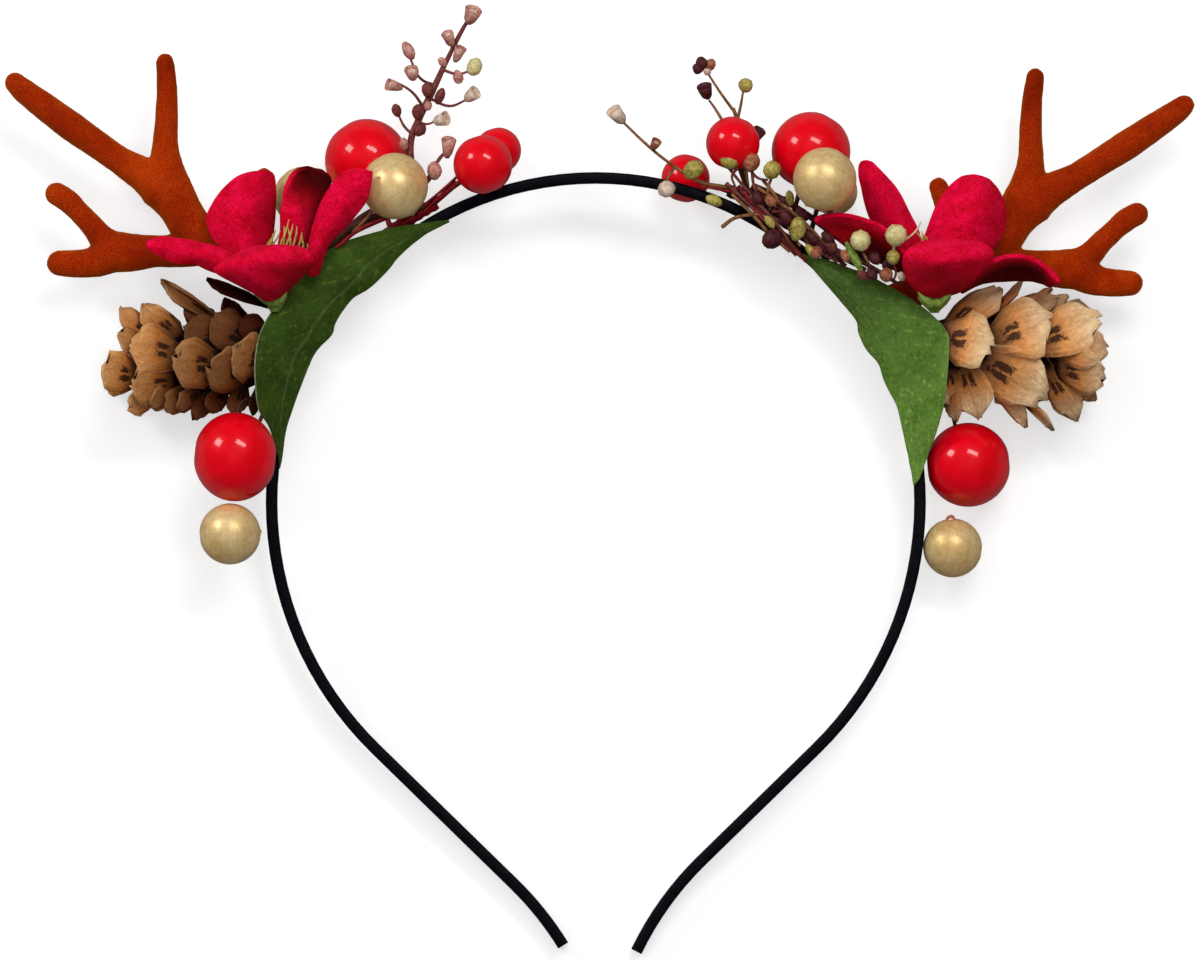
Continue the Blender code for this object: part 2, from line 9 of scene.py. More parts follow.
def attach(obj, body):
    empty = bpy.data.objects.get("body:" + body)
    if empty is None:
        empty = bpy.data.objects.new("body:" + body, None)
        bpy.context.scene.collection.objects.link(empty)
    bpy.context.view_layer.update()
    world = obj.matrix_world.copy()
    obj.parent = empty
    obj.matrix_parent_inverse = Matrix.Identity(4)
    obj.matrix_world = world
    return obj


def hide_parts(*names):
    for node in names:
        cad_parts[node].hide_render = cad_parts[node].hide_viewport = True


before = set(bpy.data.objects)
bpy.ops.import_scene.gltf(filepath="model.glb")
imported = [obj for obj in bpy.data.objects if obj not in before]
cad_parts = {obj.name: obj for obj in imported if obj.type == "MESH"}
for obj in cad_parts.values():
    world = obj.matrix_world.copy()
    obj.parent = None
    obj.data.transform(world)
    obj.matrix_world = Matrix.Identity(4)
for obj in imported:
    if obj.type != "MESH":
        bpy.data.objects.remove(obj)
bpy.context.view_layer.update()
scene = bpy.context.scene
scene.view_settings.view_transform = "Standard"
noise.seed_set(5)  # without it noise_vector starts from the clock
millimetre = 0.001

# The headband lies on its back, so its own plane is tilted a little from the floor
rest = {"tilt": 4.66, "lift": 9.834, "slide": 0.54}
bandPlace = Matrix.Translation((0, rest["slide"] * millimetre, rest["lift"] * millimetre)) @ Matrix.Rotation(
    math.radians(rest["tilt"]), 4, "X"
)

# Camera, square to the band's plane
shot = {
    "lens": 400,
    "sensor": 36,
    "seenWidth": 228.0,  # mm across the picture
    "middleX": 599.5,
    "middleY": 479.0,
    "pixel": 0.19,  # mm
}
shotDistance = shot["seenWidth"] * shot["lens"] / shot["sensor"]


def makeCamera():
    data = bpy.data.cameras.new("camera")
    data.lens = shot["lens"]
    data.sensor_width = shot["sensor"]
    data.clip_start, data.clip_end = 0.05, 20
    camera = bpy.data.objects.new("camera", data)
    scene.collection.objects.link(camera)
    aside = Vector(((600 - shot["middleX"]) * shot["pixel"], (shot["middleY"] - 480) * shot["pixel"], shotDistance))
    camera.matrix_world = bandPlace @ Matrix.Translation(aside * millimetre)
    scene.camera = camera


makeCamera()


def at(px, py, depth=0.0):
    # a point seen at a pixel of the 1200 x 960 picture, depth mm in front of the band's middle plane
    near = (1 - depth / shotDistance) * shot["pixel"] * millimetre
    return Vector(((px - shot["middleX"]) * near, (shot["middleY"] - py) * near, depth * millimetre))


def place(x, y, z=0.0):
    # a point in the band's own frame, in mm
    return Vector((x, y, z)) * millimetre


# Light and floor
studio = {
    "world": 0.07,
    "floorWhite": 0.56,
    "floorInGloss": 0.22,  # the floor as reflections see it
    "floorGlow": 0.6,  # keeps the shadows on the floor pale
    "lights": [
        # name, x, y, z, width, height, power, seenInGloss
        ("leftSoftbox", -0.92, 0.61, 0.70, 0.34, 0.42, 5.2, True),
        ("topSoftbox", 0.30, 0.62, 1.10, 0.62, 0.24, 5.6, True),
        ("overhead", 0.0, 0.15, 1.7, 1.6, 1.6, 14.0, False),
    ],
}


def makeStudio():
    world = bpy.data.worlds.new("studio")
    world.use_nodes = True
    world.node_tree.nodes["Background"].inputs["Color"].default_value = (1, 1, 1, 1)
    world.node_tree.nodes["Background"].inputs["Strength"].default_value = studio["world"]
    scene.world = world
    for name, x, y, z, width, height, power, inGloss in studio["lights"]:
        data = bpy.data.lights.new(name, "AREA")
        data.shape = "RECTANGLE"
        data.size = width
        data.size_y = height
        data.energy = power
        lamp = bpy.data.objects.new(name, data)
        scene.collection.objects.link(lamp)
        lamp.location = (x, y, z)
        lamp.rotation_mode = "QUATERNION"
        lamp.rotation_quaternion = (Vector((0, 0, 0.01)) - lamp.location).to_track_quat("-Z", "Y")
        lamp.visible_glossy = inGloss
    bm = bmesh.new()
    bmesh.ops.create_grid(bm, x_segments=1, y_segments=1, size=6)
    data = bpy.data.meshes.new("floor")
    bm.to_mesh(data)
    bm.free()
    floor = bpy.data.objects.new("floor", data)
    scene.collection.objects.link(floor)
    data.materials.append(paperWhite())


# Materials


def addNode(tree, kind, feeds=None, **settings):
    # feeds: input name or number -> value or output socket
    node = tree.nodes.new(kind)
    for key, value in settings.items():
        setattr(node, key, value)
    for key, value in (feeds or {}).items():
        if isinstance(value, bpy.types.NodeSocket):
            tree.links.new(value, node.inputs[key])
        else:
            node.inputs[key].default_value = value
    return node


def newMaterial(name, values):
    material = bpy.data.materials.new(name)
    material.use_nodes = True
    shader = material.node_tree.nodes["Principled BSDF"]
    for key, value in values.items():
        shader.inputs[key].default_value = value
    return material, material.node_tree, shader


def rampOf(tree, value, stops):
    ramp = addNode(tree, "ShaderNodeValToRGB", {0: value})
    spots = ramp.color_ramp.elements
    while len(spots) < len(stops):
        spots.new(0.5)
    for spot, (position, colour) in zip(spots, stops):
        spot.position = position
        spot.color = (*colour, 1)
    return ramp.outputs["Color"]


def mixOf(tree, factor, first, second, blend="MIX"):
    mix = addNode(tree, "ShaderNodeMix", data_type="RGBA", blend_type=blend)
    for socket, value in zip((mix.inputs[0], mix.inputs[6], mix.inputs[7]), (factor, first, second)):
        if isinstance(value, bpy.types.NodeSocket):
            tree.links.new(value, socket)
        elif isinstance(value, tuple):
            socket.default_value = (*value, 1)
        else:
            socket.default_value = value
    return mix.outputs[2]


def mathOf(tree, operation, *values, clamp=False):
    return addNode(tree, "ShaderNodeMath", dict(enumerate(values)), operation=operation, use_clamp=clamp).outputs[0]


def times(tree, first, second, clamp=False):
    return mathOf(tree, "MULTIPLY", first, second, clamp=clamp)


def awayFrom(tree, value, centre):
    return mathOf(tree, "ABSOLUTE", mathOf(tree, "SUBTRACT", value, centre))


def past(tree, value, edge, slope):
    # rises from 0 to 1 once the value is past the edge
    return times(tree, mathOf(tree, "SUBTRACT", value, edge), slope, clamp=True)


def stripe(tree, distance, sharpness, clamp=True):
    # 1 on a line and falling with the distance from it
    return mathOf(tree, "SUBTRACT", 1.0, times(tree, distance, sharpness), clamp=clamp)


def dress(tree, shader, colour, height, strength, distance):
    # the base colour, and fine relief over it
    tree.links.new(colour, shader.inputs["Base Color"])
    bump = addNode(tree, "ShaderNodeBump", {"Height": height, "Strength": strength, "Distance": distance})
    tree.links.new(bump.outputs[0], shader.inputs["Normal"])


def makeGroup(name, inputs, outputs):
    group = bpy.data.node_groups.new(name, "ShaderNodeTree")
    for label, kind, value in inputs:
        socket = group.interface.new_socket(label, in_out="INPUT", socket_type=kind)
        if value is not None:
            socket.default_value = value
    for label in outputs:
        group.interface.new_socket(label, in_out="OUTPUT", socket_type="NodeSocketFloat")
    return group, group.nodes.new("NodeGroupInput"), group.nodes.new("NodeGroupOutput")


def objectSpot(tree):
    return addNode(tree, "ShaderNodeTexCoord").outputs["Object"]


def makeFibres():
    # short crossing fibres over soft clouds, for felt, flock and cloth
    inputs = [("Fibre", "NodeSocketFloat", 2600.0), ("Cloud", "NodeSocketFloat", 260.0)]
    group, given, result = makeGroup("fibres", inputs, ["Tone", "Height"])
    spot = objectSpot(group)
    fineFeeds = {"Vector": spot, "Scale": given.outputs["Fibre"], "Detail": 3.0, "Roughness": 0.7}
    fine = addNode(group, "ShaderNodeTexNoise", fineFeeds)
    cloudFeeds = {"Vector": spot, "Scale": given.outputs["Cloud"], "Detail": 4.0, "Roughness": 0.6, "Distortion": 0.6}
    cloud = addNode(group, "ShaderNodeTexNoise", cloudFeeds)
    both = mathOf(group, "MULTIPLY_ADD", fine.outputs[0], 0.55, times(group, cloud.outputs[0], 0.45))
    group.links.new(both, result.inputs["Tone"])
    group.links.new(fine.outputs[0], result.inputs["Height"])
    return group


def makeStreaks():
    # long streaks along one axis of the given coordinates, for brushed metal, bark and wood
    inputs = [("Vector", "NodeSocketVector", None), ("Scale", "NodeSocketFloat", 900.0)]
    group, given, result = makeGroup("streaks", inputs, ["Tone"])
    feeds = {"Vector": given.outputs["Vector"], "Scale": given.outputs["Scale"], "Detail": 4.0, "Roughness": 0.65}
    group.links.new(addNode(group, "ShaderNodeTexNoise", feeds).outputs[0], result.inputs["Tone"])
    return group


fibresGroup = makeFibres()
streaksGroup = makeStreaks()


def fibresOf(tree, fibre, cloud):
    # how many fibres and clouds there are in a metre
    return addNode(tree, "ShaderNodeGroup", {"Fibre": fibre, "Cloud": cloud}, node_tree=fibresGroup).outputs


def stretched(tree, across, along):
    spot = addNode(tree, "ShaderNodeTexCoord").outputs["UV"]
    return addNode(tree, "ShaderNodeMapping", {"Vector": spot, "Scale": (across, along, 1.0)}).outputs[0]


def streaksOf(tree, across, along, scale):
    feeds = {"Vector": stretched(tree, across, along), "Scale": scale}
    return addNode(tree, "ShaderNodeGroup", feeds, node_tree=streaksGroup).outputs[0]


def uvOf(tree):
    split = addNode(tree, "ShaderNodeSeparateXYZ", {0: addNode(tree, "ShaderNodeTexCoord").outputs["UV"]})
    return split.outputs[0], split.outputs[1]


# the depth attribute holds painted shade, on the petals and on the cone scales
def paintedShadeOf(tree):
    return addNode(tree, "ShaderNodeAttribute", attribute_name="depth").outputs["Fac"]


def paperWhite():
    # a plain pale floor that looks darker in reflections, so the berries keep their depth
    material, tree, shader = newMaterial("paperWhite", {"Roughness": 0.9, "Emission Color": (1, 1, 1, 1)})
    path = addNode(tree, "ShaderNodeLightPath").outputs
    cloud = addNode(tree, "ShaderNodeTexNoise", {"Scale": 3.0, "Vector": objectSpot(tree)})
    white = studio["floorWhite"]
    paper = rampOf(tree, cloud.outputs[0], [(0.3, (white,) * 3), (0.7, (white + 0.02,) * 3)])
    seen = mixOf(tree, path["Is Glossy Ray"], paper, (studio["floorInGloss"],) * 3)
    tree.links.new(seen, shader.inputs["Base Color"])
    glow = times(tree, path["Is Camera Ray"], studio["floorGlow"])
    tree.links.new(glow, shader.inputs["Emission Strength"])
    return material


def blackSatin():
    # ribbon wound round the strip: fine threads along it and one lap every few millimetres
    material, tree, shader = newMaterial("blackSatin", {"Roughness": 0.5, "Specular IOR Level": 0.1})
    along, around = uvOf(tree)
    laps = mathOf(tree, "FRACT", mathOf(tree, "MULTIPLY_ADD", along, 52.0, times(tree, around, 0.5)))
    threads = mathOf(tree, "SINE", times(tree, along, 5200.0))
    edge = mathOf(tree, "GREATER_THAN", laps, 0.9)
    tone = fibresOf(tree, 1800.0, 150.0)["Tone"]
    colour = rampOf(tree, tone, [(0.35, (0.001, 0.001, 0.003)), (0.7, (0.003, 0.003, 0.007))])
    lapped = mixOf(tree, times(tree, edge, 0.6), colour, (0.001, 0.001, 0.002))
    height = mathOf(tree, "ADD", times(tree, laps, 0.8), times(tree, threads, 0.12))
    dress(tree, shader, lapped, height, 0.35, 0.0003)
    return material


def orangeFlock():
    values = {"Roughness": 0.95, "Specular IOR Level": 0.1}
    values |= {"Sheen Weight": 0.5, "Sheen Roughness": 0.45, "Sheen Tint": (1.0, 0.4, 0.02, 1)}
    material, tree, shader = newMaterial("orangeFlock", values)
    fibres = fibresOf(tree, 3400.0, 75.0)
    stops = [(0.38, (0.2, 0.008, 0.0)), (0.5, (0.34, 0.018, 0.0)), (0.62, (0.5, 0.05, 0.001))]
    dress(tree, shader, rampOf(tree, fibres["Tone"], stops), fibres["Height"], 0.5, 0.0004)
    return material


def redFelt():
    # dyed felt; the depth attribute holds painted shade, darkening the hollows and undersides where shade falls
    values = {"Roughness": 0.92, "Specular IOR Level": 0.12}
    values |= {"Sheen Weight": 0.2, "Sheen Roughness": 0.4, "Sheen Tint": (1.0, 0.02, 0.12, 1)}
    material, tree, shader = newMaterial("redFelt", values)
    fibres = fibresOf(tree, 2400.0, 330.0)
    stops = [(0.37, (0.46, 0.0, 0.008)), (0.5, (0.74, 0.0, 0.028)), (0.62, (0.95, 0.004, 0.08))]
    colour = rampOf(tree, fibres["Tone"], stops)
    # painted shade: the felt is multiplied towards dark maroon where the depth attribute is high
    paintedShadeTint = rampOf(tree, paintedShadeOf(tree), [(0.0, (1, 1, 1)), (0.5, (0.42, 0.2, 0.12)), (1.0, (0.07, 0.03, 0.02))])
    dress(tree, shader, mixOf(tree, 1.0, colour, paintedShadeTint, "MULTIPLY"), fibres["Height"], 0.6, 0.0005)
    return material


def leafCloth(name, dark, light, fleck, ribAt, alongPaintedShade):
    # woven cloth printed with a soft midrib and broken side veins, its cut edge pale with loose threads
    material, tree, shader = newMaterial(name, {"Roughness": 0.7, "Specular IOR Level": 0.18})
    across, along = uvOf(tree)
    fibres = fibresOf(tree, 1500.0, 130.0)
    colour = rampOf(tree, fibres["Tone"], [(0.38, dark), (0.62, light)])
    fromRib = awayFrom(tree, across, ribAt)
    veins = mathOf(tree, "FRACT", mathOf(tree, "MULTIPLY_ADD", fromRib, -3.6, times(tree, along, 13.0)))
    sideVein = stripe(tree, awayFrom(tree, veins, 0.5), 6.0)
    breaks = {"Vector": stretched(tree, 9.0, 26.0), "Scale": 1.6, "Detail": 4.0}
    broken = past(tree, addNode(tree, "ShaderNodeTexNoise", breaks).outputs[0], 0.5, 7.0)
    midrib = stripe(tree, fromRib, 24.0)
    toned = mixOf(tree, times(tree, times(tree, sideVein, broken), 0.75), colour, fleck)
    ribbed = mixOf(tree, times(tree, midrib, 0.22), toned, (0.2, 0.28, 0.12))
    # painted shade: the cloth is darker near the band, by the given share, and keeps full tone past three quarters of
    # its length
    shade = rampOf(tree, along, [(0.25, (1 - alongPaintedShade,) * 3), (0.75, (1, 1, 1))])
    shaded = mixOf(tree, 1.0, ribbed, shade, "MULTIPLY")
    edge = past(tree, awayFrom(tree, across, 0.5), 0.482, 60.0)
    frayed = times(tree, edge, times(tree, fibres["Height"], 0.8))
    cut = mixOf(tree, frayed, shaded, (0.5, 0.52, 0.38))
    threads = {"Vector": stretched(tree, 30.0, 120.0), "Scale": 1.0, "Mortar Size": 0.06}
    weave = times(tree, addNode(tree, "ShaderNodeTexBrick", threads).outputs["Fac"], -0.3)
    ribs = mathOf(tree, "SUBTRACT", times(tree, fibres["Height"], 0.5), times(tree, midrib, 0.8))
    dress(tree, shader, cut, mathOf(tree, "ADD", weave, ribs), 0.5, 0.0003)
    return material


def coneWood(name, base, tip, seedMarkAndGapShade, shadow):
    # each scale is dark at its root, painted shade for the gap under the scale above, with two soft seed marks and a
    # pale rim; the depth attribute darkens the shaded ones with painted shade
    material, tree, shader = newMaterial(name, {"Roughness": 0.6, "Specular IOR Level": 0.1})
    across, along = uvOf(tree)
    grain = streaksOf(tree, 7.0, 1.0, 2.0)
    blotch = fibresOf(tree, 1300.0, 210.0)
    # painted shade at the root: the dark seed-mark colour fills the start of each scale, where the next scale
    # overlaps
    colour = rampOf(tree, along, [(0.1, seedMarkAndGapShade), (0.44, base), (0.8, tip), (0.97, tuple(c * 0.94 for c in tip))])
    grained = rampOf(tree, grain, [(0.36, (0.55, 0.45, 0.4)), (0.62, (1, 1, 1))])
    blotches = rampOf(tree, blotch["Tone"], [(0.41, (0.62, 0.46, 0.36)), (0.56, (1, 1, 1))])
    toned = mixOf(tree, 0.5, mixOf(tree, 0.45, colour, grained, "MULTIPLY"), blotches, "MULTIPLY")
    fromMiddle = awayFrom(tree, across, 0.5)
    sideways = stripe(tree, awayFrom(tree, fromMiddle, 0.1), 11.0, clamp=False)
    lengthways = stripe(tree, awayFrom(tree, along, 0.34), 8.0, clamp=False)
    within = mathOf(tree, "MINIMUM", sideways, lengthways)
    uneven = mathOf(tree, "MULTIPLY_ADD", mathOf(tree, "SUBTRACT", blotch["Tone"], 0.5), 4.0, within)
    seed = times(tree, uneven, 2.6, clamp=True)
    rim = past(tree, mathOf(tree, "MAXIMUM", mathOf(tree, "SUBTRACT", along, 0.5), fromMiddle), 0.455, 18.0)
    rimmed = mixOf(tree, times(tree, rim, 0.3), toned, (0.86, 0.56, 0.32))
    marked = mixOf(tree, times(tree, seed, 0.9), rimmed, seedMarkAndGapShade)
    # painted shade: the shadow colour multiplies the scales that the depth attribute marks
    shaded = mixOf(tree, 1.0, marked, shadow, "MULTIPLY")
    colour = mixOf(tree, times(tree, paintedShadeOf(tree), 1.15, clamp=True), marked, shaded)
    dress(tree, shader, colour, mathOf(tree, "ADD", grain, blotch["Height"]), 0.6, 0.0004)
    return material


def redLacquer():
    values = {"Roughness": 0.35, "Specular IOR Level": 0.1, "Coat Weight": 0.6, "Coat Roughness": 0.08}
    material, tree, shader = newMaterial("redLacquer", values)
    fibres = fibresOf(tree, 700.0, 160.0)
    colour = rampOf(tree, fibres["Tone"], [(0.35, (0.74, 0.0, 0.004)), (0.65, (0.92, 0.0, 0.014))])
    dress(tree, shader, colour, fibres["Height"], 0.07, 0.0003)
    return material


def brushedGold():
    # pale satin gold paint, brushed in rings round the bead's hole
    material, tree, shader = newMaterial("brushedGold", {"Metallic": 0.35})
    rings = streaksOf(tree, 1.0, 26.0, 1.2)
    tone = fibresOf(tree, 900.0, 110.0)["Tone"]
    colour = rampOf(tree, tone, [(0.38, (0.84, 0.53, 0.19)), (0.62, (1.0, 0.78, 0.4))])
    brushed = rampOf(tree, rings, [(0.38, (0.7, 0.6, 0.45)), (0.62, (1, 1, 1))])
    tree.links.new(mathOf(tree, "MULTIPLY_ADD", rings, 0.2, 0.3), shader.inputs["Roughness"])
    dress(tree, shader, mixOf(tree, 0.3, colour, brushed, "MULTIPLY"), rings, 0.12, 0.0002)
    return material


def twigBark(name, dark, light, roughness):
    material, tree, shader = newMaterial(name, {"Roughness": roughness, "Specular IOR Level": 0.28})
    blotch = fibresOf(tree, 1800.0, 420.0)
    height = mathOf(tree, "ADD", streaksOf(tree, 60.0, 3.0, 2.0), blotch["Height"])
    dress(tree, shader, rampOf(tree, blotch["Tone"], [(0.38, dark), (0.62, light)]), height, 0.35, 0.0003)
    return material


def finish(name, data, material, replaced=()):
    # the piece's place goes into its mesh, and it rides with the frame
    data.transform(bandPlace)
    data.materials.clear()
    data.materials.append(material)
    data.shade_smooth()
    piece = bpy.data.objects.new(name, data)
    scene.collection.objects.link(piece)
    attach(piece, "root")
    if replaced:
        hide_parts(*replaced)
    return piece


def meshOf(name, bm):
    data = bpy.data.meshes.new(name)
    bm.to_mesh(data)
    bm.free()
    return data


def rounded(piece, thickness, levels):
    wall = piece.modifiers.new("wall", "SOLIDIFY")
    wall.thickness = thickness * millimetre
    wall.offset = 0
    soft = piece.modifiers.new("soft", "SUBSURF")
    soft.levels = soft.render_levels = levels


def through(points, share):
    # a smooth walk through the points, share from 0 to 1
    last = len(points) - 1
    step = min(int(share * last), last - 1)
    t = share * last - step
    before, first, second, after = (points[min(max(step + k, 0), last)] for k in (-1, 0, 1, 2))
    return 0.5 * (
        2 * first + (second - before) * t + (2 * before - 5 * first + 4 * second - after) * t * t
        + (3 * first - before - 3 * second + after) * t * t * t
    )


def sheetThrough(bm, rows, acrossSteps, alongSteps):
    # a grid laid through rows of points, with its own UV map: across in u, along in v
    # a fourth number in a point goes into the depth attribute, which carries painted shade
    bm.loops.layers.uv.verify()
    depth = bm.verts.layers.float.get("depth") or bm.verts.layers.float.new("depth")
    made = bmesh.ops.create_grid(bm, x_segments=acrossSteps, y_segments=alongSteps, size=1, calc_uvs=True)
    for vert in made["verts"]:
        section = [through([row[k] for row in rows], (vert.co.y + 1) / 2) for k in range(len(rows[0]))]
        point = through(section, (vert.co.x + 1) / 2)
        vert.co = point.to_3d()
        if len(point) == 4:
            vert[depth] = min(max(point[3], 0), 1)
    return made["verts"]


def tubes(name, rows, sides=6, smoothSteps=5):
    # rows of (radius in mm, points); a radius may be a list, one for each point
    curve = bpy.data.curves.new(name, "CURVE")
    curve.dimensions = "3D"
    curve.bevel_depth = millimetre
    curve.bevel_resolution = (sides - 4) // 2
    curve.use_fill_caps = True
    curve.resolution_u = smoothSteps
    for radius, points in rows:
        spline = curve.splines.new("BEZIER")
        spline.bezier_points.add(len(points) - 1)
        for index, (knot, point) in enumerate(zip(spline.bezier_points, points)):
            knot.co = point
            knot.handle_left_type = knot.handle_right_type = "AUTO"
            knot.radius = radius[index] if isinstance(radius, (list, tuple)) else radius
    holder = bpy.data.objects.new(name, curve)
    scene.collection.objects.link(holder)
    graph = bpy.context.evaluated_depsgraph_get()
    data = bpy.data.meshes.new_from_object(holder.evaluated_get(graph))
    bpy.data.objects.remove(holder)
    bpy.data.curves.remove(curve)
    return data


def turned(bm, profile, steps, where=None):
    # a closed form spun round z from (radius, height) rows in mm, with u round it and v along it
    uv = bm.loops.layers.uv.verify()
    before = set(bm.verts)
    spots = [bm.verts.new((radius * millimetre, 0, height * millimetre)) for radius, height in profile]
    edges = [bm.edges.new(pair) for pair in zip(spots, spots[1:])]
    bmesh.ops.spin(
        bm, geom=spots + edges, axis=(0, 0, 1), cent=(0, 0, 0), steps=steps, angle=2 * math.pi, use_merge=True
    )
    fresh = [v for v in bm.verts if v not in before]
    bmesh.ops.remove_doubles(bm, verts=fresh, dist=1e-7)
    fresh = [v for v in bm.verts if v not in before]
    faces = list({f for v in fresh for f in v.link_faces})
    bmesh.ops.recalc_face_normals(bm, faces=faces)
    low, high = min(h for _, h in profile), max(h for _, h in profile)
    for face in faces:
        turn = math.atan2(face.calc_center_median().y, face.calc_center_median().x)
        for loop in face.loops:
            own = math.atan2(loop.vert.co.y, loop.vert.co.x)
            own += 2 * math.pi * round((turn - own) / (2 * math.pi))
            height = (loop.vert.co.z / millimetre - low) / (high - low)
            loop[uv].uv = (own / (2 * math.pi) + 0.5, height)
    if where is not None:
        bmesh.ops.transform(bm, matrix=where, verts=fresh)


def along(start, end):
    # a matrix that puts the origin at start with z pointing to end
    return Matrix.Translation(start) @ (end - start).to_track_quat("Z", "Y").to_matrix().to_4x4()


makeStudio()
satin = blackSatin()
flock = orangeFlock()
felt = redFelt()
lacquer = redLacquer()
gold = brushedGold()
twigLooks = {
    # key: name, dark, light, roughness
    "bark": ("burgundyBark", (0.06, 0.008, 0.008), (0.26, 0.06, 0.05), 0.55),
    "tan": ("tanBark", (0.1, 0.028, 0.008), (0.36, 0.17, 0.06), 0.55),
    "cream": ("pithCream", (0.5, 0.3, 0.2), (0.88, 0.74, 0.6), 0.4),
    "olive": ("budOlive", (0.17, 0.12, 0.015), (0.62, 0.52, 0.13), 0.3),
    "rust": ("budRust", (0.16, 0.02, 0.012), (0.5, 0.2, 0.1), 0.4),
    "straw": ("budStraw", (0.5, 0.4, 0.12), (0.9, 0.82, 0.45), 0.35),
    "blush": ("budBlush", (0.3, 0.06, 0.05), (0.75, 0.4, 0.32), 0.4),
    "husk": ("huskDark", (0.02, 0.003, 0.006), (0.12, 0.02, 0.022), 0.45),
    # the cone core is near-black as painted shade, so the gaps between the scales look shaded
    "core": ("coneCoreShade", (0.006, 0.002, 0.002), (0.03, 0.01, 0.007), 0.8),
    "tape": ("brownTape", (0.02, 0.006, 0.004), (0.1, 0.03, 0.014), 0.6),
    "wire": ("redWire", (0.12, 0.003, 0.006), (0.36, 0.012, 0.018), 0.35),
    "green": ("sepalGreen", (0.08, 0.15, 0.012), (0.32, 0.44, 0.09), 0.6),
    "stamen": ("stamenYellow", (0.32, 0.2, 0.03), (0.72, 0.52, 0.16), 0.5),
    "thread": ("threadCream", (0.6, 0.4, 0.2), (0.85, 0.7, 0.45), 0.5),
}
looks = {key: twigBark(*row) for key, row in twigLooks.items()}
print("materials made")

# Band
band = {
    "centre": (-0.7, -4.4),
    "thick": 2.2,
    "width": 5.0,
    "crownRadius": 61.6,
    "sideRadius": 65.5,
    "sideTurn": 45.7,
    "tipRadius": 61.0,
    "sides": [(-1, 36.8, 14.0), (1, 30.4, 20.0)],  # side, straight, tipTurn
    "inset": 0.98,  # keeps the ribbon inside the solid
    "corner": 0.55,
    "sharpTurn": 50,
}
outerRadius = band["crownRadius"] + band["thick"] / 2


def aroundBand(angle, outside, z=0.0):
    reach = outerRadius + outside
    turn = math.radians(angle)
    return place(band["centre"][0] + reach * math.cos(turn), band["centre"][1] + reach * math.sin(turn), z)


def bandSide(straight, tipTurn):
    # the strip's middle line from the crown to one tip, on the right-hand side
    points = []

    def arc(cx, cy, radius, turn):
        points.append((cx + radius * math.sin(math.radians(turn)), cy + radius * math.cos(math.radians(turn))))

    for turn in range(3, 90, 3):
        arc(0, 0, band["crownRadius"], turn)
    for step in range(17):
        arc(band["crownRadius"] - band["sideRadius"], 0, band["sideRadius"], 90 + band["sideTurn"] * step / 16)
    endTurn = 90 + band["sideTurn"]
    nx, ny = math.sin(math.radians(endTurn)), math.cos(math.radians(endTurn))
    x, y = points[-1]
    for step in range(1, 7):
        points.append((x + straight * ny * step / 6, y - straight * nx * step / 6))
    x, y = points[-1]
    for step in range(1, 9):
        arc(x + nx * band["tipRadius"], y + ny * band["tipRadius"], -band["tipRadius"], endTurn - tipTurn * step / 8)
    return points


def makeBand():
    line = []
    for side, straight, tipTurn in band["sides"]:
        half = [(side * x + band["centre"][0], y + band["centre"][1]) for x, y in bandSide(straight, tipTurn)]
        line += half[::-1] + [(band["centre"][0], band["crownRadius"] + band["centre"][1])] if side < 0 else half
    profile = bpy.data.curves.new("stripSection", "CURVE")
    profile.dimensions = "2D"
    section = profile.splines.new("POLY")
    corners = []
    corner = band["corner"]
    flat, wide = (band[key] / 2 * band["inset"] - corner for key in ("thick", "width"))
    for sx, sy, start in ((1, 1, 0), (-1, 1, 90), (-1, -1, 180), (1, -1, 270)):
        for step in range(4):
            turn = math.radians(start + step * 30)
            corners.append((sx * flat + corner * math.cos(turn), sy * wide + corner * math.sin(turn)))
    section.points.add(len(corners) - 1)
    section.use_cyclic_u = True
    for knot, (x, y) in zip(section.points, corners):
        knot.co = (*place(x, y), 1)
    profileHolder = bpy.data.objects.new("stripSection", profile)
    scene.collection.objects.link(profileHolder)
    curve = bpy.data.curves.new("bandLine", "CURVE")
    curve.dimensions = "3D"
    curve.twist_mode = "Z_UP"
    curve.bevel_mode = "OBJECT"
    curve.bevel_object = profileHolder
    curve.use_fill_caps = True
    spline = curve.splines.new("POLY")
    spline.points.add(len(line) - 1)
    for knot, (x, y) in zip(spline.points, line):
        knot.co = (*place(x, y), 1)
    holder = bpy.data.objects.new("bandLine", curve)
    scene.collection.objects.link(holder)
    data = bpy.data.meshes.new_from_object(holder.evaluated_get(bpy.context.evaluated_depsgraph_get()))
    bpy.data.objects.remove(holder)
    bpy.data.objects.remove(profileHolder)
    bm = bmesh.new()
    bm.from_mesh(data)
    bmesh.ops.remove_doubles(bm, verts=bm.verts, dist=1e-6)
    bmesh.ops.recalc_face_normals(bm, faces=bm.faces)
    bm.to_mesh(data)
    bm.free()
    finish("satinBand", data, satin, ["band"])
    data.set_sharp_from_angle(angle=math.radians(band["sharpTurn"]))


makeBand()
print("band made")

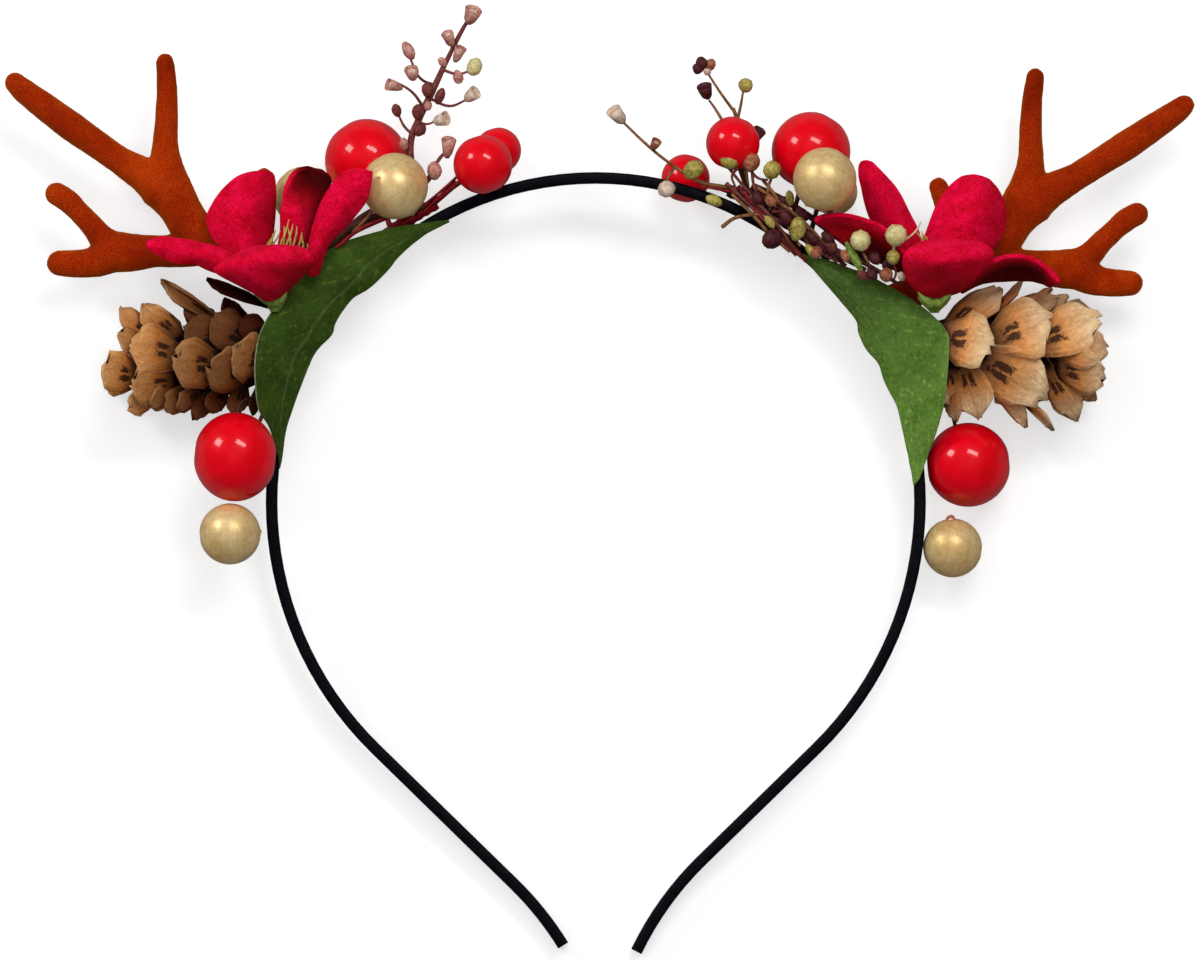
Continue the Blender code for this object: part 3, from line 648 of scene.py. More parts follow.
# Antlers: round limbs grown together, pressed flat and flocked
antler = {
    "flatness": 0.72,
    "depth": -2.0,
    "grain": 0.45,  # mm between the points of the grown skin
    "plump": 0.26,
    "fuzz": 0.06,
    "relax": (0.5, 8),  # factor, rounds
    "limbs": [
        # rows of (px, py, radius in px), each limb from its root to its tip
        [(329, 304, 11), (290, 289, 14), (250, 268, 17), (215, 248, 19), (192, 228, 20), (178, 206, 19.5),
         (160, 185, 23), (140, 172.5, 16), (117.6, 158.9, 12.8), (98.9, 145.7, 13), (71.6, 126.5, 14),
         (45.5, 107.1, 13),
         (21.3, 88.7, 11.2), (14.5, 82.5, 9.6)],
        [(190, 226, 18), (176, 190, 16), (166, 163, 15), (165, 142, 11.8), (166.3, 120, 10.6), (166.3, 83, 9.2),
         (164.7, 62, 8.2)],
        [(215, 248, 15), (185, 251, 15), (155, 251, 15), (133, 252.5, 18), (113, 252.5, 20), (98, 260.5, 15.4),
         (86, 263, 13.4), (74, 263.6, 13), (59, 263, 11.8)],
        [(118, 248, 14), (102, 238, 12.2), (92, 226, 10.6), (78.2, 211.4, 9.8), (67, 200.5, 10.8), (56, 193.5, 10.6)],
        [(225, 248, 13), (247, 214, 11), (258, 190, 9.5), (263.5, 177, 8.6)],
    ],
    "right": {"turn": -3.0, "pivot": (81.4, 47.7), "shift": (-1.4, -2.7), "foot": 36.0, "spurOut": 1.5},
    "pair": [("antlerLeft", "antler_left", False), ("antlerRight", "antler_right", True)],
}


def makeAntler(name, node, mirrored):
    right = antler["right"]
    turn = Matrix.Rotation(math.radians(right["turn"]), 2)
    pivot, shift = Vector(right["pivot"]), Vector(right["shift"])
    rows, tips = [], []
    for limb in antler["limbs"]:
        points = []
        for px, py, _ in limb:
            x, y = (px - shot["middleX"]) * shot["pixel"], (shot["middleY"] - py) * shot["pixel"]
            if mirrored:
                x, y = turn @ (Vector((-x, y)) - pivot) + pivot + shift
                if limb is antler["limbs"][-1] and points:  # its spur leans out a little more
                    x += right["spurOut"]
            points.append(place(x, y))
        if mirrored and not rows:
            points[0] = aroundBand(right["foot"], 2.3)
        radii = [radius * shot["pixel"] for *_, radius in limb]
        rows.append((radii, points))
        tips.append((points[-1], radii[-1]))
    bm = bmesh.new()
    bm.from_mesh(tubes(name, rows, 16))
    for tip, radius in tips:
        where = Matrix.Translation(tip)
        bmesh.ops.create_uvsphere(bm, u_segments=24, v_segments=16, radius=radius * millimetre, matrix=where)
    data = meshOf(name, bm)
    holder = bpy.data.objects.new(name + "Limbs", data)
    scene.collection.objects.link(holder)
    grown = holder.modifiers.new("grown", "REMESH")
    grown.mode = "VOXEL"
    grown.voxel_size = antler["grain"] * millimetre
    relax = holder.modifiers.new("relax", "SMOOTH")
    relax.factor, relax.iterations = antler["relax"]
    shape = bpy.data.meshes.new_from_object(holder.evaluated_get(bpy.context.evaluated_depsgraph_get()))
    bpy.data.objects.remove(holder)
    shape.transform(Matrix.Translation(place(0, 0, antler["depth"])) @ Matrix.Diagonal((1, 1, antler["flatness"], 1)))
    for vert in shape.vertices:  # the short fibres break up the outline
        vert.co += vert.normal * (noise.noise(vert.co * 900) * antler["fuzz"] + antler["plump"]) * millimetre
    finish(name, shape, flock, [node])


for row in antler["pair"]:
    makeAntler(*row)
print("antlers made")

# Felt petals: rows from the base to the tip, each its left edge, middle and right edge
# as (px, py, depth, how much painted shade darkens the felt there)
petalLook = {"wall": 1.0, "across": 12, "along": 16, "wrinkle": 1.0, "fray": 0.16, "levels": 2}
petals = {
    "petal_left_upright": [
        ((250, 284, 7, 0.5), (256, 284, 7.6, 0.6), (264, 284, 7, 0.8)),
        ((222, 250, 5.5, 0.05), (248, 252, 8.5, 0.1), (271, 250, 5, 0.6)),
        ((206, 222, 5, 0), (240, 224, 9, 0), (275, 222, 4.4, 0.55)),
        ((216, 198, 5, 0), (247, 198, 8, 0), (276, 196, 4.2, 0.45)),
        ((233, 180, 5, 0), (256, 178, 6.2, 0), (274, 176, 4.2, 0.3)),
        ((250, 174, 4.8, 0), (260, 171.5, 5.2, 0.05), (269, 171.5, 4.4, 0.2)),
    ],
    "petal_left_side": [
        ((246, 262, 9.5, 0.3), (246, 270, 10, 0.5), (244, 279, 9.5, 0.6)),
        ((224, 250, 8.5, 0.1), (222, 262, 11, 0.1), (214, 272.5, 9, 0.5)),
        ((204, 244.5, 7.5, 0), (200, 254, 10.5, 0), (196, 264, 9, 0.3)),
        ((183, 240, 7.5, 0), (180, 250, 9.5, 0), (178, 263.5, 8.5, 0.2)),
        ((162, 237.5, 7.5, 0), (162, 246, 9, 0), (165, 259, 8.5, 0.1)),
        ((148, 241.5, 8, 0), (146, 245, 8.5, 0), (151, 250, 8.3, 0.1)),
    ],
    "petal_left_front": [
        ((256, 291, 11.5, 0.25), (270, 301, 11.8, 0.35), (286, 291, 11.5, 0.5)),
        ((233, 281, 13.5, 0), (266, 287, 15.5, 0.3), (300, 278, 13.5, 0.6)),
        ((213, 270, 14.5, 0), (262, 270, 17.8, 0.15), (313, 266, 14.5, 0.65)),
        ((224, 262, 14.6, 0), (266, 259, 18.2, 0), (314, 258, 14.8, 0.2)),
        ((242, 252, 13.8, 0), (272, 248.5, 16, 0), (308, 251, 14, 0)),
        ((258, 247.5, 12.8, 0), (276, 246.5, 13.5, 0), (294, 247.5, 12.8, 0)),
    ],
    "petal_left_right": [
        ((308, 276, 9, 0.4), (313, 277, 9.2, 0.4), (319, 275, 9, 0.6)),
        ((309, 247, 10.5, 0.05), (318, 248, 11.8, 0.1), (327, 245, 10.6, 0.4)),
        ((314, 222, 11.5, 0), (330, 226, 13.2, 0), (348, 224, 11.6, 0.35)),
        ((323, 198, 12.4, 0), (344, 203, 14.2, 0), (365, 204, 12.6, 0.25)),
        ((337, 178, 12.8, 0), (355, 183, 14.2, 0), (371, 186, 13.2, 0.15)),
        ((352, 169, 12.6, 0), (362, 169, 13.2, 0), (372, 171, 13, 0.1)),
    ],
    "petal_left_back": [
        ((272, 262, 6, 0.5), (282, 262, 5, 0.7), (292, 262, 5, 0.9)),
        ((279, 238, 8, 0), (298, 240, 7.5, 0), (314, 238, 3, 1)),
        ((280, 212, 9, 0), (301, 210, 8, 0.05), (322, 208, 1, 1)),
        ((284, 192, 8.5, 0), (299, 188, 5, 0.75), (330, 188, 1.5, 1)),
        ((291, 176, 7, 0.1), (304, 172, 2, 1), (331, 178, 3, 1)),
        ((298, 169.5, 5, 0.6), (310, 168, 2, 1), (321, 170, 3, 0.9)),
    ],
    "petal_right_upright": [
        ((936, 284, 6.5, 0.5), (948, 286, 7, 0.5), (960, 284, 6.5, 0.6)),
        ((922, 250, 5.2, 0.1), (955, 254, 9, 0), (992, 250, 5.2, 0.3)),
        ((927, 230, 4.5, 0), (964, 232, 9, 0), (1005, 230, 4.4, 0.3)),
        ((935, 208, 4.2, 0), (970, 207, 8, 0), (1006, 208, 4.2, 0.25)),
        ((949, 187, 4, 0), (974, 186, 6, 0), (998, 190, 4, 0.2)),
        ((963, 177.5, 4, 0), (975, 175, 4.6, 0), (987, 179, 4, 0.1)),
    ],
    "petal_right_narrow": [
        ((905, 270, 5.5, 0.6), (915, 272, 6, 0.6), (925, 270, 5.5, 0.6)),
        ((884, 243, 4.5, 0.5), (902, 245, 6.4, 0.2), (921, 238, 4.8, 0.2)),
        ((868, 214, 3, 0.35), (889, 214, 5.6, 0.05), (910, 213, 3.5, 0.1)),
        ((861.5, 188, 2, 0.3), (878, 187, 4.2, 0), (896, 188, 2.5, 0.05)),
        ((859, 170, 1.6, 0.2), (867, 169, 2.8, 0), (879, 170, 1.8, 0)),
        ((862, 162, 1.6, 0.1), (866, 160, 2, 0), (871, 162.5, 1.7, 0)),
    ],
    "petal_right_side": [
        ((912, 262, 11, 0.2), (908, 268, 9, 0.8), (905, 276, 8, 1)),
        ((888, 230, 11, 0), (886, 246, 8, 0.85), (882, 264, 6, 1)),
        ((866, 219, 11, 0), (862, 234, 8, 0.7), (856, 254, 6, 0.9)),
        ((845, 214.5, 10.5, 0), (842, 226, 8, 0.5), (838, 240, 7, 0.7)),
        ((826, 215, 10, 0), (825, 221, 8.8, 0.4), (827, 230, 8, 0.6)),
        ((815, 219, 9.6, 0), (814, 220.5, 9.2, 0.2), (817, 224, 9, 0.4)),
    ],
    "petal_right_front": [
        ((918, 292, 10.8, 0.5), (936, 298, 11.5, 0.5), (958, 292, 10.8, 0.5)),
        ((906, 278, 13, 0.4), (938, 283, 15, 0.45), (974, 279, 13, 0.4)),
        ((902.5, 260, 14.5, 0.15), (940, 265, 18.3, 0.3), (990, 262, 14.5, 0.3)),
        ((905, 253, 14.6, 0), (945, 259, 18.4, 0), (994, 254, 14.5, 0.1)),
        ((914, 245.5, 13.5, 0), (948, 249, 15.8, 0), (988, 245.5, 13.2, 0)),
        ((926, 241.5, 12.3, 0), (953, 241, 13, 0), (978, 243, 12.2, 0)),
    ],
    "petal_right_droop": [
        ((966, 282, 12, 0.3), (964, 288, 9, 0.6), (960, 293, 8, 0.8)),
        ((985, 264, 12.5, 0), (985, 274, 9.5, 0.9), (982, 283, 7.5, 1)),
        ((1005, 256, 12.5, 0), (1005, 267, 9, 1), (1004, 281, 6.5, 1)),
        ((1025, 256, 12.5, 0), (1026, 266, 9, 1), (1026, 280, 6.5, 1)),
        ((1043, 264, 12.5, 0), (1042, 272, 10, 1), (1041, 283, 8, 1)),
        ((1060, 282, 11.5, 0), (1056, 284, 10.5, 0.5), (1051, 287, 9.5, 0.8)),
    ],
}


def camel(node):
    first, *rest = node.split("_")
    return first + "".join(part.capitalize() for part in rest)


def makePetal(node, rows):
    bm = bmesh.new()
    # the fourth number of each point is painted shade for the felt
    points = [[Vector((*at(px, py, z), paintedFeltShade)) for px, py, z, paintedFeltShade in row] for row in rows]
    # soft dents and an uneven cut edge
    for vert in sheetThrough(bm, points, petalLook["across"], petalLook["along"]):
        vert.co.z += noise.noise(vert.co * 230) * petalLook["wrinkle"] * millimetre
        vert.co += noise.noise_vector(vert.co * 700) * petalLook["fray"] * millimetre
    piece = finish(camel(node), meshOf(node, bm), felt, [node])
    rounded(piece, petalLook["wall"], petalLook["levels"])


for node, rows in petals.items():
    makePetal(node, rows)
print("petals made")

# Flower hearts: a green cup with sepals, and yellow filaments
heart = {
    "left": {"middle": (-61.5, 36.0, 8.5), "cup": 2.4, "sepals": [(247, 286), (273.7, 277.8), (288, 288)]},
    "right": {"middle": (63.4, 35.8, 8.5), "cup": 3.2, "sepals": [(926, 279), (940, 286), (957, 284), (918, 292)]},
}
sepal = {"halfWidth": 0.9, "wall": 0.35}
filaments = {
    # thin pointed threads: root px, root py, tip px, tip py
    "left": [
        (267, 247, 276, 229), (269, 248, 273, 233), (272, 247, 280, 231), (280, 247, 289, 219), (283, 247, 284, 226),
        (286, 246, 293, 224), (290, 246, 288, 228), (293, 246, 297, 226), (298, 247, 302, 232), (303, 248, 301, 236),
        (307, 250, 307, 243),
    ],
    "right": [(922, 240, 916, 232), (924, 241, 921, 231), (927, 242, 925, 236)],
}


def makeHeart(side):
    facts = heart[side]
    middle = Vector(facts["middle"])
    low = place(middle.x, middle.y - 4.4, middle.z)
    top = place(middle.x, middle.y - 0.8, middle.z)
    bm = bmesh.new()
    cup = facts["cup"]
    profile = [(0.0, 0.0), (0.8, 0.05), (1.1, 0.5), (cup * 0.75, 1.7), (cup, 2.9)]
    profile += [(cup * 0.95, 3.6), (cup * 0.6, 3.7), (0.0, 3.3)]
    turned(bm, profile, 20, along(low, top))
    cupFaces = set(bm.faces)
    for tipX, tipY in facts["sepals"]:
        tip = at(tipX, tipY, middle.z + 4.0)
        root = low.lerp(top, 0.35) + Vector((0, 0, cup * 0.8)) * millimetre
        out = (tip - root).cross(Vector((0, 0, 1))).normalized() * millimetre
        rows = []
        for share, wide, crown in ((0, sepal["halfWidth"], 0.4), (0.5, 0.8, 0.3), (1, 0.1, 0)):
            spot = root.lerp(tip, share)
            rows.append([spot - out * wide, spot + place(0, 0, crown), spot + out * wide])
        sheetThrough(bm, rows, 4, 6)
    flat = [f for f in bm.faces if f not in cupFaces]
    bmesh.ops.solidify(bm, geom=flat, thickness=sepal["wall"] * millimetre)
    bmesh.ops.recalc_face_normals(bm, faces=bm.faces)
    finish("calyx" + side.capitalize(), meshOf("calyx", bm), looks["green"], ["calyx_" + side])
    rows = []
    foot = place(middle.x, middle.y - 0.6, middle.z)
    for rootX, rootY, tipX, tipY in filaments[side]:
        root, tip = at(rootX, rootY, middle.z + 1.0), at(tipX, tipY, middle.z + 1.4)
        rows.append(([0.2, 0.22, 0.2, 0.08], [foot, root, root.lerp(tip, 0.6) + place(0.15, 0, 0.2), tip]))
    finish("stamens" + side.capitalize(), tubes("stamens", rows), looks["stamen"], ["stamens_" + side])


for side in heart:
    makeHeart(side)
print("hearts made")

# Cloth leaves across the band's front: rows of outer edge, middle and inner edge as (px, py, depth)
leafLook = {"wall": 0.5, "across": 14, "along": 60, "wrinkle": 0.45, "fray": 0.1, "levels": 1}
leaves = {
    "leaf_left": {
        "cut": (0.0145, 0.065),  # m
        # look: dark, light and fleck colours, where the midrib lies, and how much painted shade darkens the leaf near
        # the band
        "look": ((0.02, 0.046, 0.003), (0.055, 0.105, 0.009), (0.12, 0.2, 0.02), 0.62, 0),
        "rows": [
            ((449, 220, 3.9), (449, 221, 3.9), (450, 222, 3.9)),
            ((400, 226, 4.3), (414, 233, 4.4), (427, 233, 3.7)),
            ((368, 234, 4.3), (384, 246, 4.8), (401, 255, 3.6)),
            ((336, 245, 4.3), (360, 262, 5), (388, 271, 3.6)),
            ((317, 261, 4.6), (346, 280, 5.4), (370, 288, 3.6)),
            ((293, 281, 5.6), (326, 298, 5.6), (352, 299, 3.6)),
            ((274, 307, 7.5), (306, 322, 6.6), (336, 322, 3.6)),
            ((261, 329, 9.5), (296, 338, 6.8), (333, 334, 3.8)),
            ((255, 352, 10.6), (286, 356, 7.2), (316, 351.5, 3.6)),
            ((254.5, 378, 10.8), (280, 380, 7.2), (304, 378, 3.6)),
            ((258, 409, 8.6), (276, 410, 6.2), (293, 408, 3.5)),
            ((269, 427, 6), (278, 430, 4.8), (286, 430, 3.5)),
            ((278, 455, 3.8), (280, 456, 3.6), (282, 456, 3.4)),
            ((279, 469, 3.4), (279.5, 469, 3.4), (280, 469, 3.4)),
        ],
    },
    "leaf_right": {
        "cut": (0.0155, 0.057),
        "look": ((0.08, 0.18, 0.02), (0.19, 0.35, 0.055), (0.4, 0.6, 0.1), 0.74, 0.58),
        "rows": [
            ((798, 253, 3.9), (799, 254, 3.9), (800, 255, 3.9)),
            ((823, 258.5, 4.2), (817, 263, 4.2), (811, 267, 3.8)),
            ((848, 267, 4.3), (838, 278, 4.7), (829, 288, 3.7)),
            ((872, 276.5, 4.3), (857, 292, 5), (842, 303, 3.6)),
            ((897, 290, 4.8), (876, 306, 5.4), (856, 321, 3.6)),
            ((922, 306, 6.5), (891, 322, 6), (858, 333, 3.7)),
            ((939, 321, 8.4), (903, 338, 6.4), (866, 350, 3.6)),
            ((948, 334, 9.8), (914, 352, 6.8), (878, 364, 3.6)),
            ((949, 352, 10.6), (918, 370, 7), (885, 384, 3.6)),
            ((947, 378, 10.6), (922, 393, 7), (896, 405, 3.6)),
            ((945, 400, 9.6), (924, 414, 6.6), (902, 427, 3.5)),
            ((938, 428, 7.4), (923, 440, 5.6), (907, 452, 3.5)),
            ((928, 455, 5.2), (920, 463, 4.4), (911, 470, 3.5)),
            ((919, 480, 3.8), (916, 484, 3.6), (914, 486, 3.4)),
        ],
    },
}


def makeLeaf(node):
    facts = leaves[node]
    bm = bmesh.new()
    points = [[at(*point) for point in row] for row in facts["rows"]]
    for vert in sheetThrough(bm, points, leafLook["across"], leafLook["along"]):
        vert.co.z += noise.noise(vert.co * 190) * leafLook["wrinkle"] * millimetre
        vert.co += noise.noise_vector(vert.co * 600) * leafLook["fray"] * millimetre
    cloth = leafCloth(camel(node) + "Cloth", *facts["look"])
    piece = finish(camel(node), meshOf(node, bm), cloth, [node])
    rounded(piece, leafLook["wall"], leafLook["levels"])


for node in leaves:
    makeLeaf(node)
print("leaves made")

# Pine cones: woody scales round a turned core, the seen ones laid out in the picture, the same number behind
cones = {
    "pinecone_left": {
        "seat": (153, 0.3),
        "apex": (-95.5, 19.2, 0.8),
        "girth": 10.6,
        "look": ((0.55, 0.2, 0.045), (0.9, 0.46, 0.17), (0.012, 0.004, 0.004), (0.06, 0.008, 0.002)),
        "scales": [
            # root px, root py, tip px, tip py, width px, bluntness, how deep in shade; the last ones lie on top
            (270, 306, 207, 282, 34, 0, 0.9), (224, 326, 161, 284, 40, 0, 0.55), (252, 330, 222, 301, 30, 0.5, 0.95),
            (226, 340, 185, 303, 34, 0.4, 0.8), (214, 385, 194, 418, 22, 0.1, 0.75),
            (244, 380, 233, 413, 24, 0.3, 0.7), (258, 384, 251, 414, 16, 0.2, 0.8),
            (190, 384, 164, 410, 30, 0.3, 0.6), (158, 384, 129, 411, 26, 0.4, 0.15),
            (228, 382, 208, 411, 26, 0.3, 0.8), (156, 345, 120, 309, 26, 0.1, 0.15),
            (150, 352, 117, 336, 30, 0.7, 0.3), (270, 345, 240, 318, 30, 0.7, 0.85),
            (178, 386, 148, 403, 26, 0.5, 0.5), (204, 386, 176, 408, 26, 0.3, 0.65),
            (142, 378, 100, 368, 44, 0.8, 0.05), (184, 342, 141, 307, 40, 0.5, 0.2),
            (256, 350, 210, 318, 46, 0.8, 0.75), (272, 364, 231, 352, 50, 0.8, 0.5),
            (228, 352, 184, 326, 46, 0.7, 0.75), (258, 374, 206, 368, 50, 0.8, 0.6),
            (224, 366, 172, 362, 52, 0.8, 0.45), (180, 380, 130, 386, 44, 0.8, 0.25),
            (184, 358, 129, 345, 52, 0.8, 0.1),
        ],
    },
    "pinecone_right": {
        "seat": (27.5, 0.3),
        "apex": (97, 24, 0.8),
        "girth": 10.6,
        "look": ((0.95, 0.42, 0.13), (1, 0.74, 0.42), (0.03, 0.009, 0.01), (0.3, 0.11, 0.05)),
        "scales": [
            (985, 322, 1024, 283, 16, 0, 0.7), (1000, 322, 1052, 290, 20, 0.1, 0.7),
            (1010, 330, 1069, 297, 22, 0.1, 0.5), (945, 375, 958, 420, 20, 0.3, 0.5),
            (985, 362, 1027, 424, 22, 0, 0.3), (1014, 390, 1055, 427, 30, 0.2, 0.3),
            (1042, 360, 1078, 418, 34, 0.1, 0.3), (1062, 372, 1097, 397, 26, 0.3, 0.6),
            (940, 334, 999, 290, 44, 0.4, 0.4), (950, 362, 952, 404, 34, 0.6, 0.35),
            (1050, 345, 1108, 350, 44, 0.6, 0.4), (1052, 366, 1106, 374, 52, 0.9, 0.25),
            (960, 352, 980, 416, 42, 0.7, 0.15), (986, 322, 1058, 300, 50, 0.3, 0.5),
            (1020, 350, 1100, 316, 56, 0.8, 0.1), (984, 344, 1052, 318, 66, 0.6, 0.1),
            (936, 338, 993, 344, 60, 0.9, 0.1), (974, 352, 1047, 396, 66, 0.8, 0),
        ],
    },
}
scaleLook = {"wall": 0.5, "steps": 6, "sharpTurn": 30}
# (share of the length, share of the width)
scaleOutline = [(0.0, 0.3), (0.2, 0.52), (0.42, 0.84), (0.6, 1.0), (0.75, 0.98), (0.88, 0.74), (1.0, 0.16)]


def scaleShape(bm, length, width, blunt, shade, seeded):
    # one woody scale along +y with its outer face up: narrow root, angular shoulders, broken edge
    bm.loops.layers.uv.verify()
    depth = bm.verts.layers.float.get("depth") or bm.verts.layers.float.new("depth")
    steps = scaleLook["steps"]
    made = bmesh.ops.create_grid(bm, x_segments=steps, y_segments=steps, size=1, calc_uvs=True)
    lean, curl = seeded.uniform(-0.12, 0.12), seeded.uniform(0.3, 0.9)
    for vert in made["verts"]:
        across, t = vert.co.x, (vert.co.y + 1) / 2
        step, wide = scaleOutline[round(t * steps)]
        if t > 0.7:
            wide += (1 - wide) * blunt * (0.35 if t > 0.95 else 0.3)
        rough = seeded.uniform(-0.05, 0.05) if abs(across) > 0.9 or t > 0.95 else 0
        vert.co = Vector((
            (across * wide / 2 + lean * t * (1 - t) + rough) * width,
            (step - 0.09 * blunt * abs(across) ** 2 * t + rough) * length,
            0.5 * (1 - across * across) * math.sin(min(t * 1.2, 1) * math.pi) + curl * max(t - 0.65, 0) * 2.4,
        )) * millimetre
        # painted shade for the whole scale, stored in the depth attribute
        vert[depth] = shade
    return made["verts"]


def makeCone(node):
    facts = cones[node]
    seeded = random.Random(len(node))
    seat = aroundBand(facts["seat"][0], 0.9, facts["seat"][1])
    apex = place(*facts["apex"])
    axis = (apex - seat).normalized()
    forward = (Vector((0, 0, 1)) - axis * axis.z).normalized()
    upward = axis.cross(forward)
    if upward.y < 0:
        upward = -upward
    girth = facts["girth"] * millimetre

    def spot(px, py, reach, side):
        seen = at(px, py, 8) - seat
        sideways = seen.dot(upward)
        out = math.sqrt(max((reach * girth) ** 2 - sideways**2, (0.12 * girth) ** 2))
        outward = upward * sideways + forward * out * side
        return seat + axis * seen.dot(axis) + outward, outward

    bm = bmesh.new()
    for side in (1, -1):
        for index, (rootX, rootY, tipX, tipY, width, blunt, shade) in enumerate(facts["scales"]):
            share = index / len(facts["scales"])
            root, rootOut = spot(rootX, rootY, 0.5 + 0.1 * share, side)
            tip, tipOut = spot(tipX, tipY, 0.9 + 0.12 * share, side)
            ahead = (tip - root).normalized()
            outward = rootOut + tipOut + forward * side * (0.004 if blunt < 0.15 else 0.0015)
            outward = (outward - ahead * outward.dot(ahead)).normalized()
            turn = Matrix((ahead.cross(outward), ahead, outward)).transposed().to_4x4()
            verts = scaleShape(bm, (tip - root).length / millimetre, width * shot["pixel"], blunt, shade, seeded)
            bmesh.ops.transform(bm, matrix=Matrix.Translation(root) @ turn, verts=verts)
    bmesh.ops.recalc_face_normals(bm, faces=bm.faces)
    wood = coneWood(camel(node) + "Wood", *facts["look"])
    piece = finish(camel(node), meshOf(node, bm), wood, [node])
    piece.data.set_sharp_from_angle(angle=math.radians(scaleLook["sharpTurn"]))
    wall = piece.modifiers.new("wall", "SOLIDIFY")
    wall.thickness, wall.offset = scaleLook["wall"] * millimetre, 0
    length = (apex - seat).length / millimetre
    # the core shows through the gaps in its near-black painted-shade colour
    profile = [(0.0, 0.0), (1.2, 0.1), (1.6, 3.0), (4.6, 6.0), (6.4, 12.0), (6.6, 18.0), (5.8, 25.0), (3.2, 29.0)]
    profile += [(1.4, length - 8.5), (0.0, length - 7.5)]
    bm = bmesh.new()
    turned(bm, profile, 24, along(seat, apex))
    finish(camel(node) + "Core", meshOf(node + "Core", bm), looks["core"])


for node in cones:
    makeCone(node)
print("cones made")

# Berries and beads
balls = [
    # name, x, y, z, radius, stretch, kind; a z of None lays the ball on the floor
    ("berry_lower_left", -69.0, 4.2, 8.3, 7.9, 1.07, "berry"),
    ("berry_lower_right", 70.1, 2.7, -1.0, 8.0, 1.0, "berry"),
    ("berry_upper_left", -44.4, 60.7, -6.0, 7.9, 1.0, "berry"),
    ("berry_upper_right", 40.2, 62.3, -0.9, 7.5, 1.0, "berry"),
    ("berry_small_left_front", -22.1, 59.6, 6.1, 5.6, 1.0, "berry"),
    ("berry_small_left_back", -19.3, 62.5, -3.6, 4.4, 1.0, "berry"),
    ("berry_mid_right", 25.3, 63.7, 3.5, 5.1, 1.0, "berry"),
    ("berry_small_right", 16.4, 57.3, -7.5, 4.6, 1.0, "berry"),
    ("bead_lower_left", -70.0, -10.4, 8.3, 5.8, 1.0, "bead"),
    ("bead_lower_right", 67.1, -13.1, 0.0, 5.6, 1.0, "bead"),
    ("bead_front_left", -38.8, 55.5, 6.6, 6.3, 1.0, "bead"),
    ("bead_back_left", -56.3, 53.8, None, 5.8, 1.0, "bead"),
    ("bead_front_right", 42.6, 56.7, 11.7, 6.0, 1.0, "bead"),
    ("bead_back_right", 44.7, 54.8, None, 4.5, 1.0, "bead"),
]
floorUnder = {"atTip": -2.5, "tipY": -90.0}
dents = {
    # at the stalk and at the far end: height, and how wide in radians
    "berry": ((-0.06, 0.16), (-0.03, 0.2)),
    "bead": ((0.05, 0.07), (-0.03, 0.12)),
}


def ballMiddle(row):
    _, x, y, z, radius, _, _ = row
    if z is None:
        z = floorUnder["atTip"] - (y - floorUnder["tipY"]) * math.tan(math.radians(rest["tilt"])) + radius
    return place(x, y, z)


def makeBall(row):
    name, _, _, _, radius, stretch, kind = row
    middle = ballMiddle(row)
    toBand = Vector((0, -4.4 * millimetre, 0)) - middle
    toBand.z *= 0.3
    axis = toBand.normalized()
    steps, around = 32, 48
    (stalkHigh, stalkWide), (endHigh, endWide) = dents[kind]
    profile = []
    for step in range(steps + 1):
        turn = math.pi * step / steps
        atStalk, atEnd = math.exp(-((turn / stalkWide) ** 2)), math.exp(-(((math.pi - turn) / endWide) ** 2))
        reach = radius * (1 + stalkHigh * atStalk + endHigh * atEnd)
        profile.append((reach * math.sin(turn), -reach * math.cos(turn)))
    profile[0] = (0.0, profile[0][1])
    profile[-1] = (0.0, profile[-1][1])
    bm = bmesh.new()
    turned(bm, profile, around)
    aim = (-axis).to_track_quat("Z", "Y").to_matrix().to_4x4()
    where = Matrix.Translation(middle) @ Matrix.Diagonal((1, stretch, 1, 1)) @ aim
    bmesh.ops.transform(bm, matrix=where, verts=bm.verts)
    look, slot = (lacquer, "berry_red") if kind == "berry" else (gold, "bead_gold")
    finish(camel(name), meshOf(name, bm), look, [name])


for row in balls:
    makeBall(row)
print("berries and beads made")

# Wire bundles: a taped core along the band with a wire to each berry
# core and wire are radii in mm, out is how far the core lies from the strip, sink how far a wire goes into its ball
bundleLook = {"steps": 24, "out": 1.7, "core": (1.15, 1.32), "wire": (0.6, 0.42, 0.55), "sink": 0.2}
bundles = {
    "wire_bundle_left": {
        "look": "wire",
        "start": 118.0,  # degrees round the strip
        "end": 136.0,
        "wires": [
            (127.0, "berry_upper_left"),
            (124.5, "bead_front_left"),
            (134.0, "bead_back_left"),
            (121.5, "berry_small_left_front"),
            (119.5, "berry_small_left_back"),
        ],
    },
    "wire_bundle_right": {
        "look": "tape",
        "start": 67.0,
        "end": 46.0,
        "wires": [
            (55.0, "berry_upper_right"),
            (51.0, "bead_front_right"),
            (48.0, "bead_back_right"),
            (63.0, "berry_mid_right"),
            (66.0, "berry_small_right"),
        ],
    },
}


def makeBundle(node):
    facts = bundles[node]
    steps, out = bundleLook["steps"], bundleLook["out"]
    span = facts["end"] - facts["start"]
    core = [aroundBand(facts["start"] + span * k / steps, out) for k in range(steps + 1)]
    rows = [([bundleLook["core"][k % 2] for k in range(steps + 1)], core)]
    for angle, ball in facts["wires"]:
        row = next(row for row in balls if row[0] == ball)
        root, middle = aroundBand(angle, out), ballMiddle(row)
        tip = middle + (root - middle).normalized() * (row[4] - bundleLook["sink"]) * millimetre
        rows.append((bundleLook["wire"], [root, root.lerp(tip, 0.55) + place(0, 0, 0.4), tip]))
    finish(camel(node), tubes(node, rows, 8), looks[facts["look"]], [node])


for node in bundles:
    makeBundle(node)
print("wire bundles made")

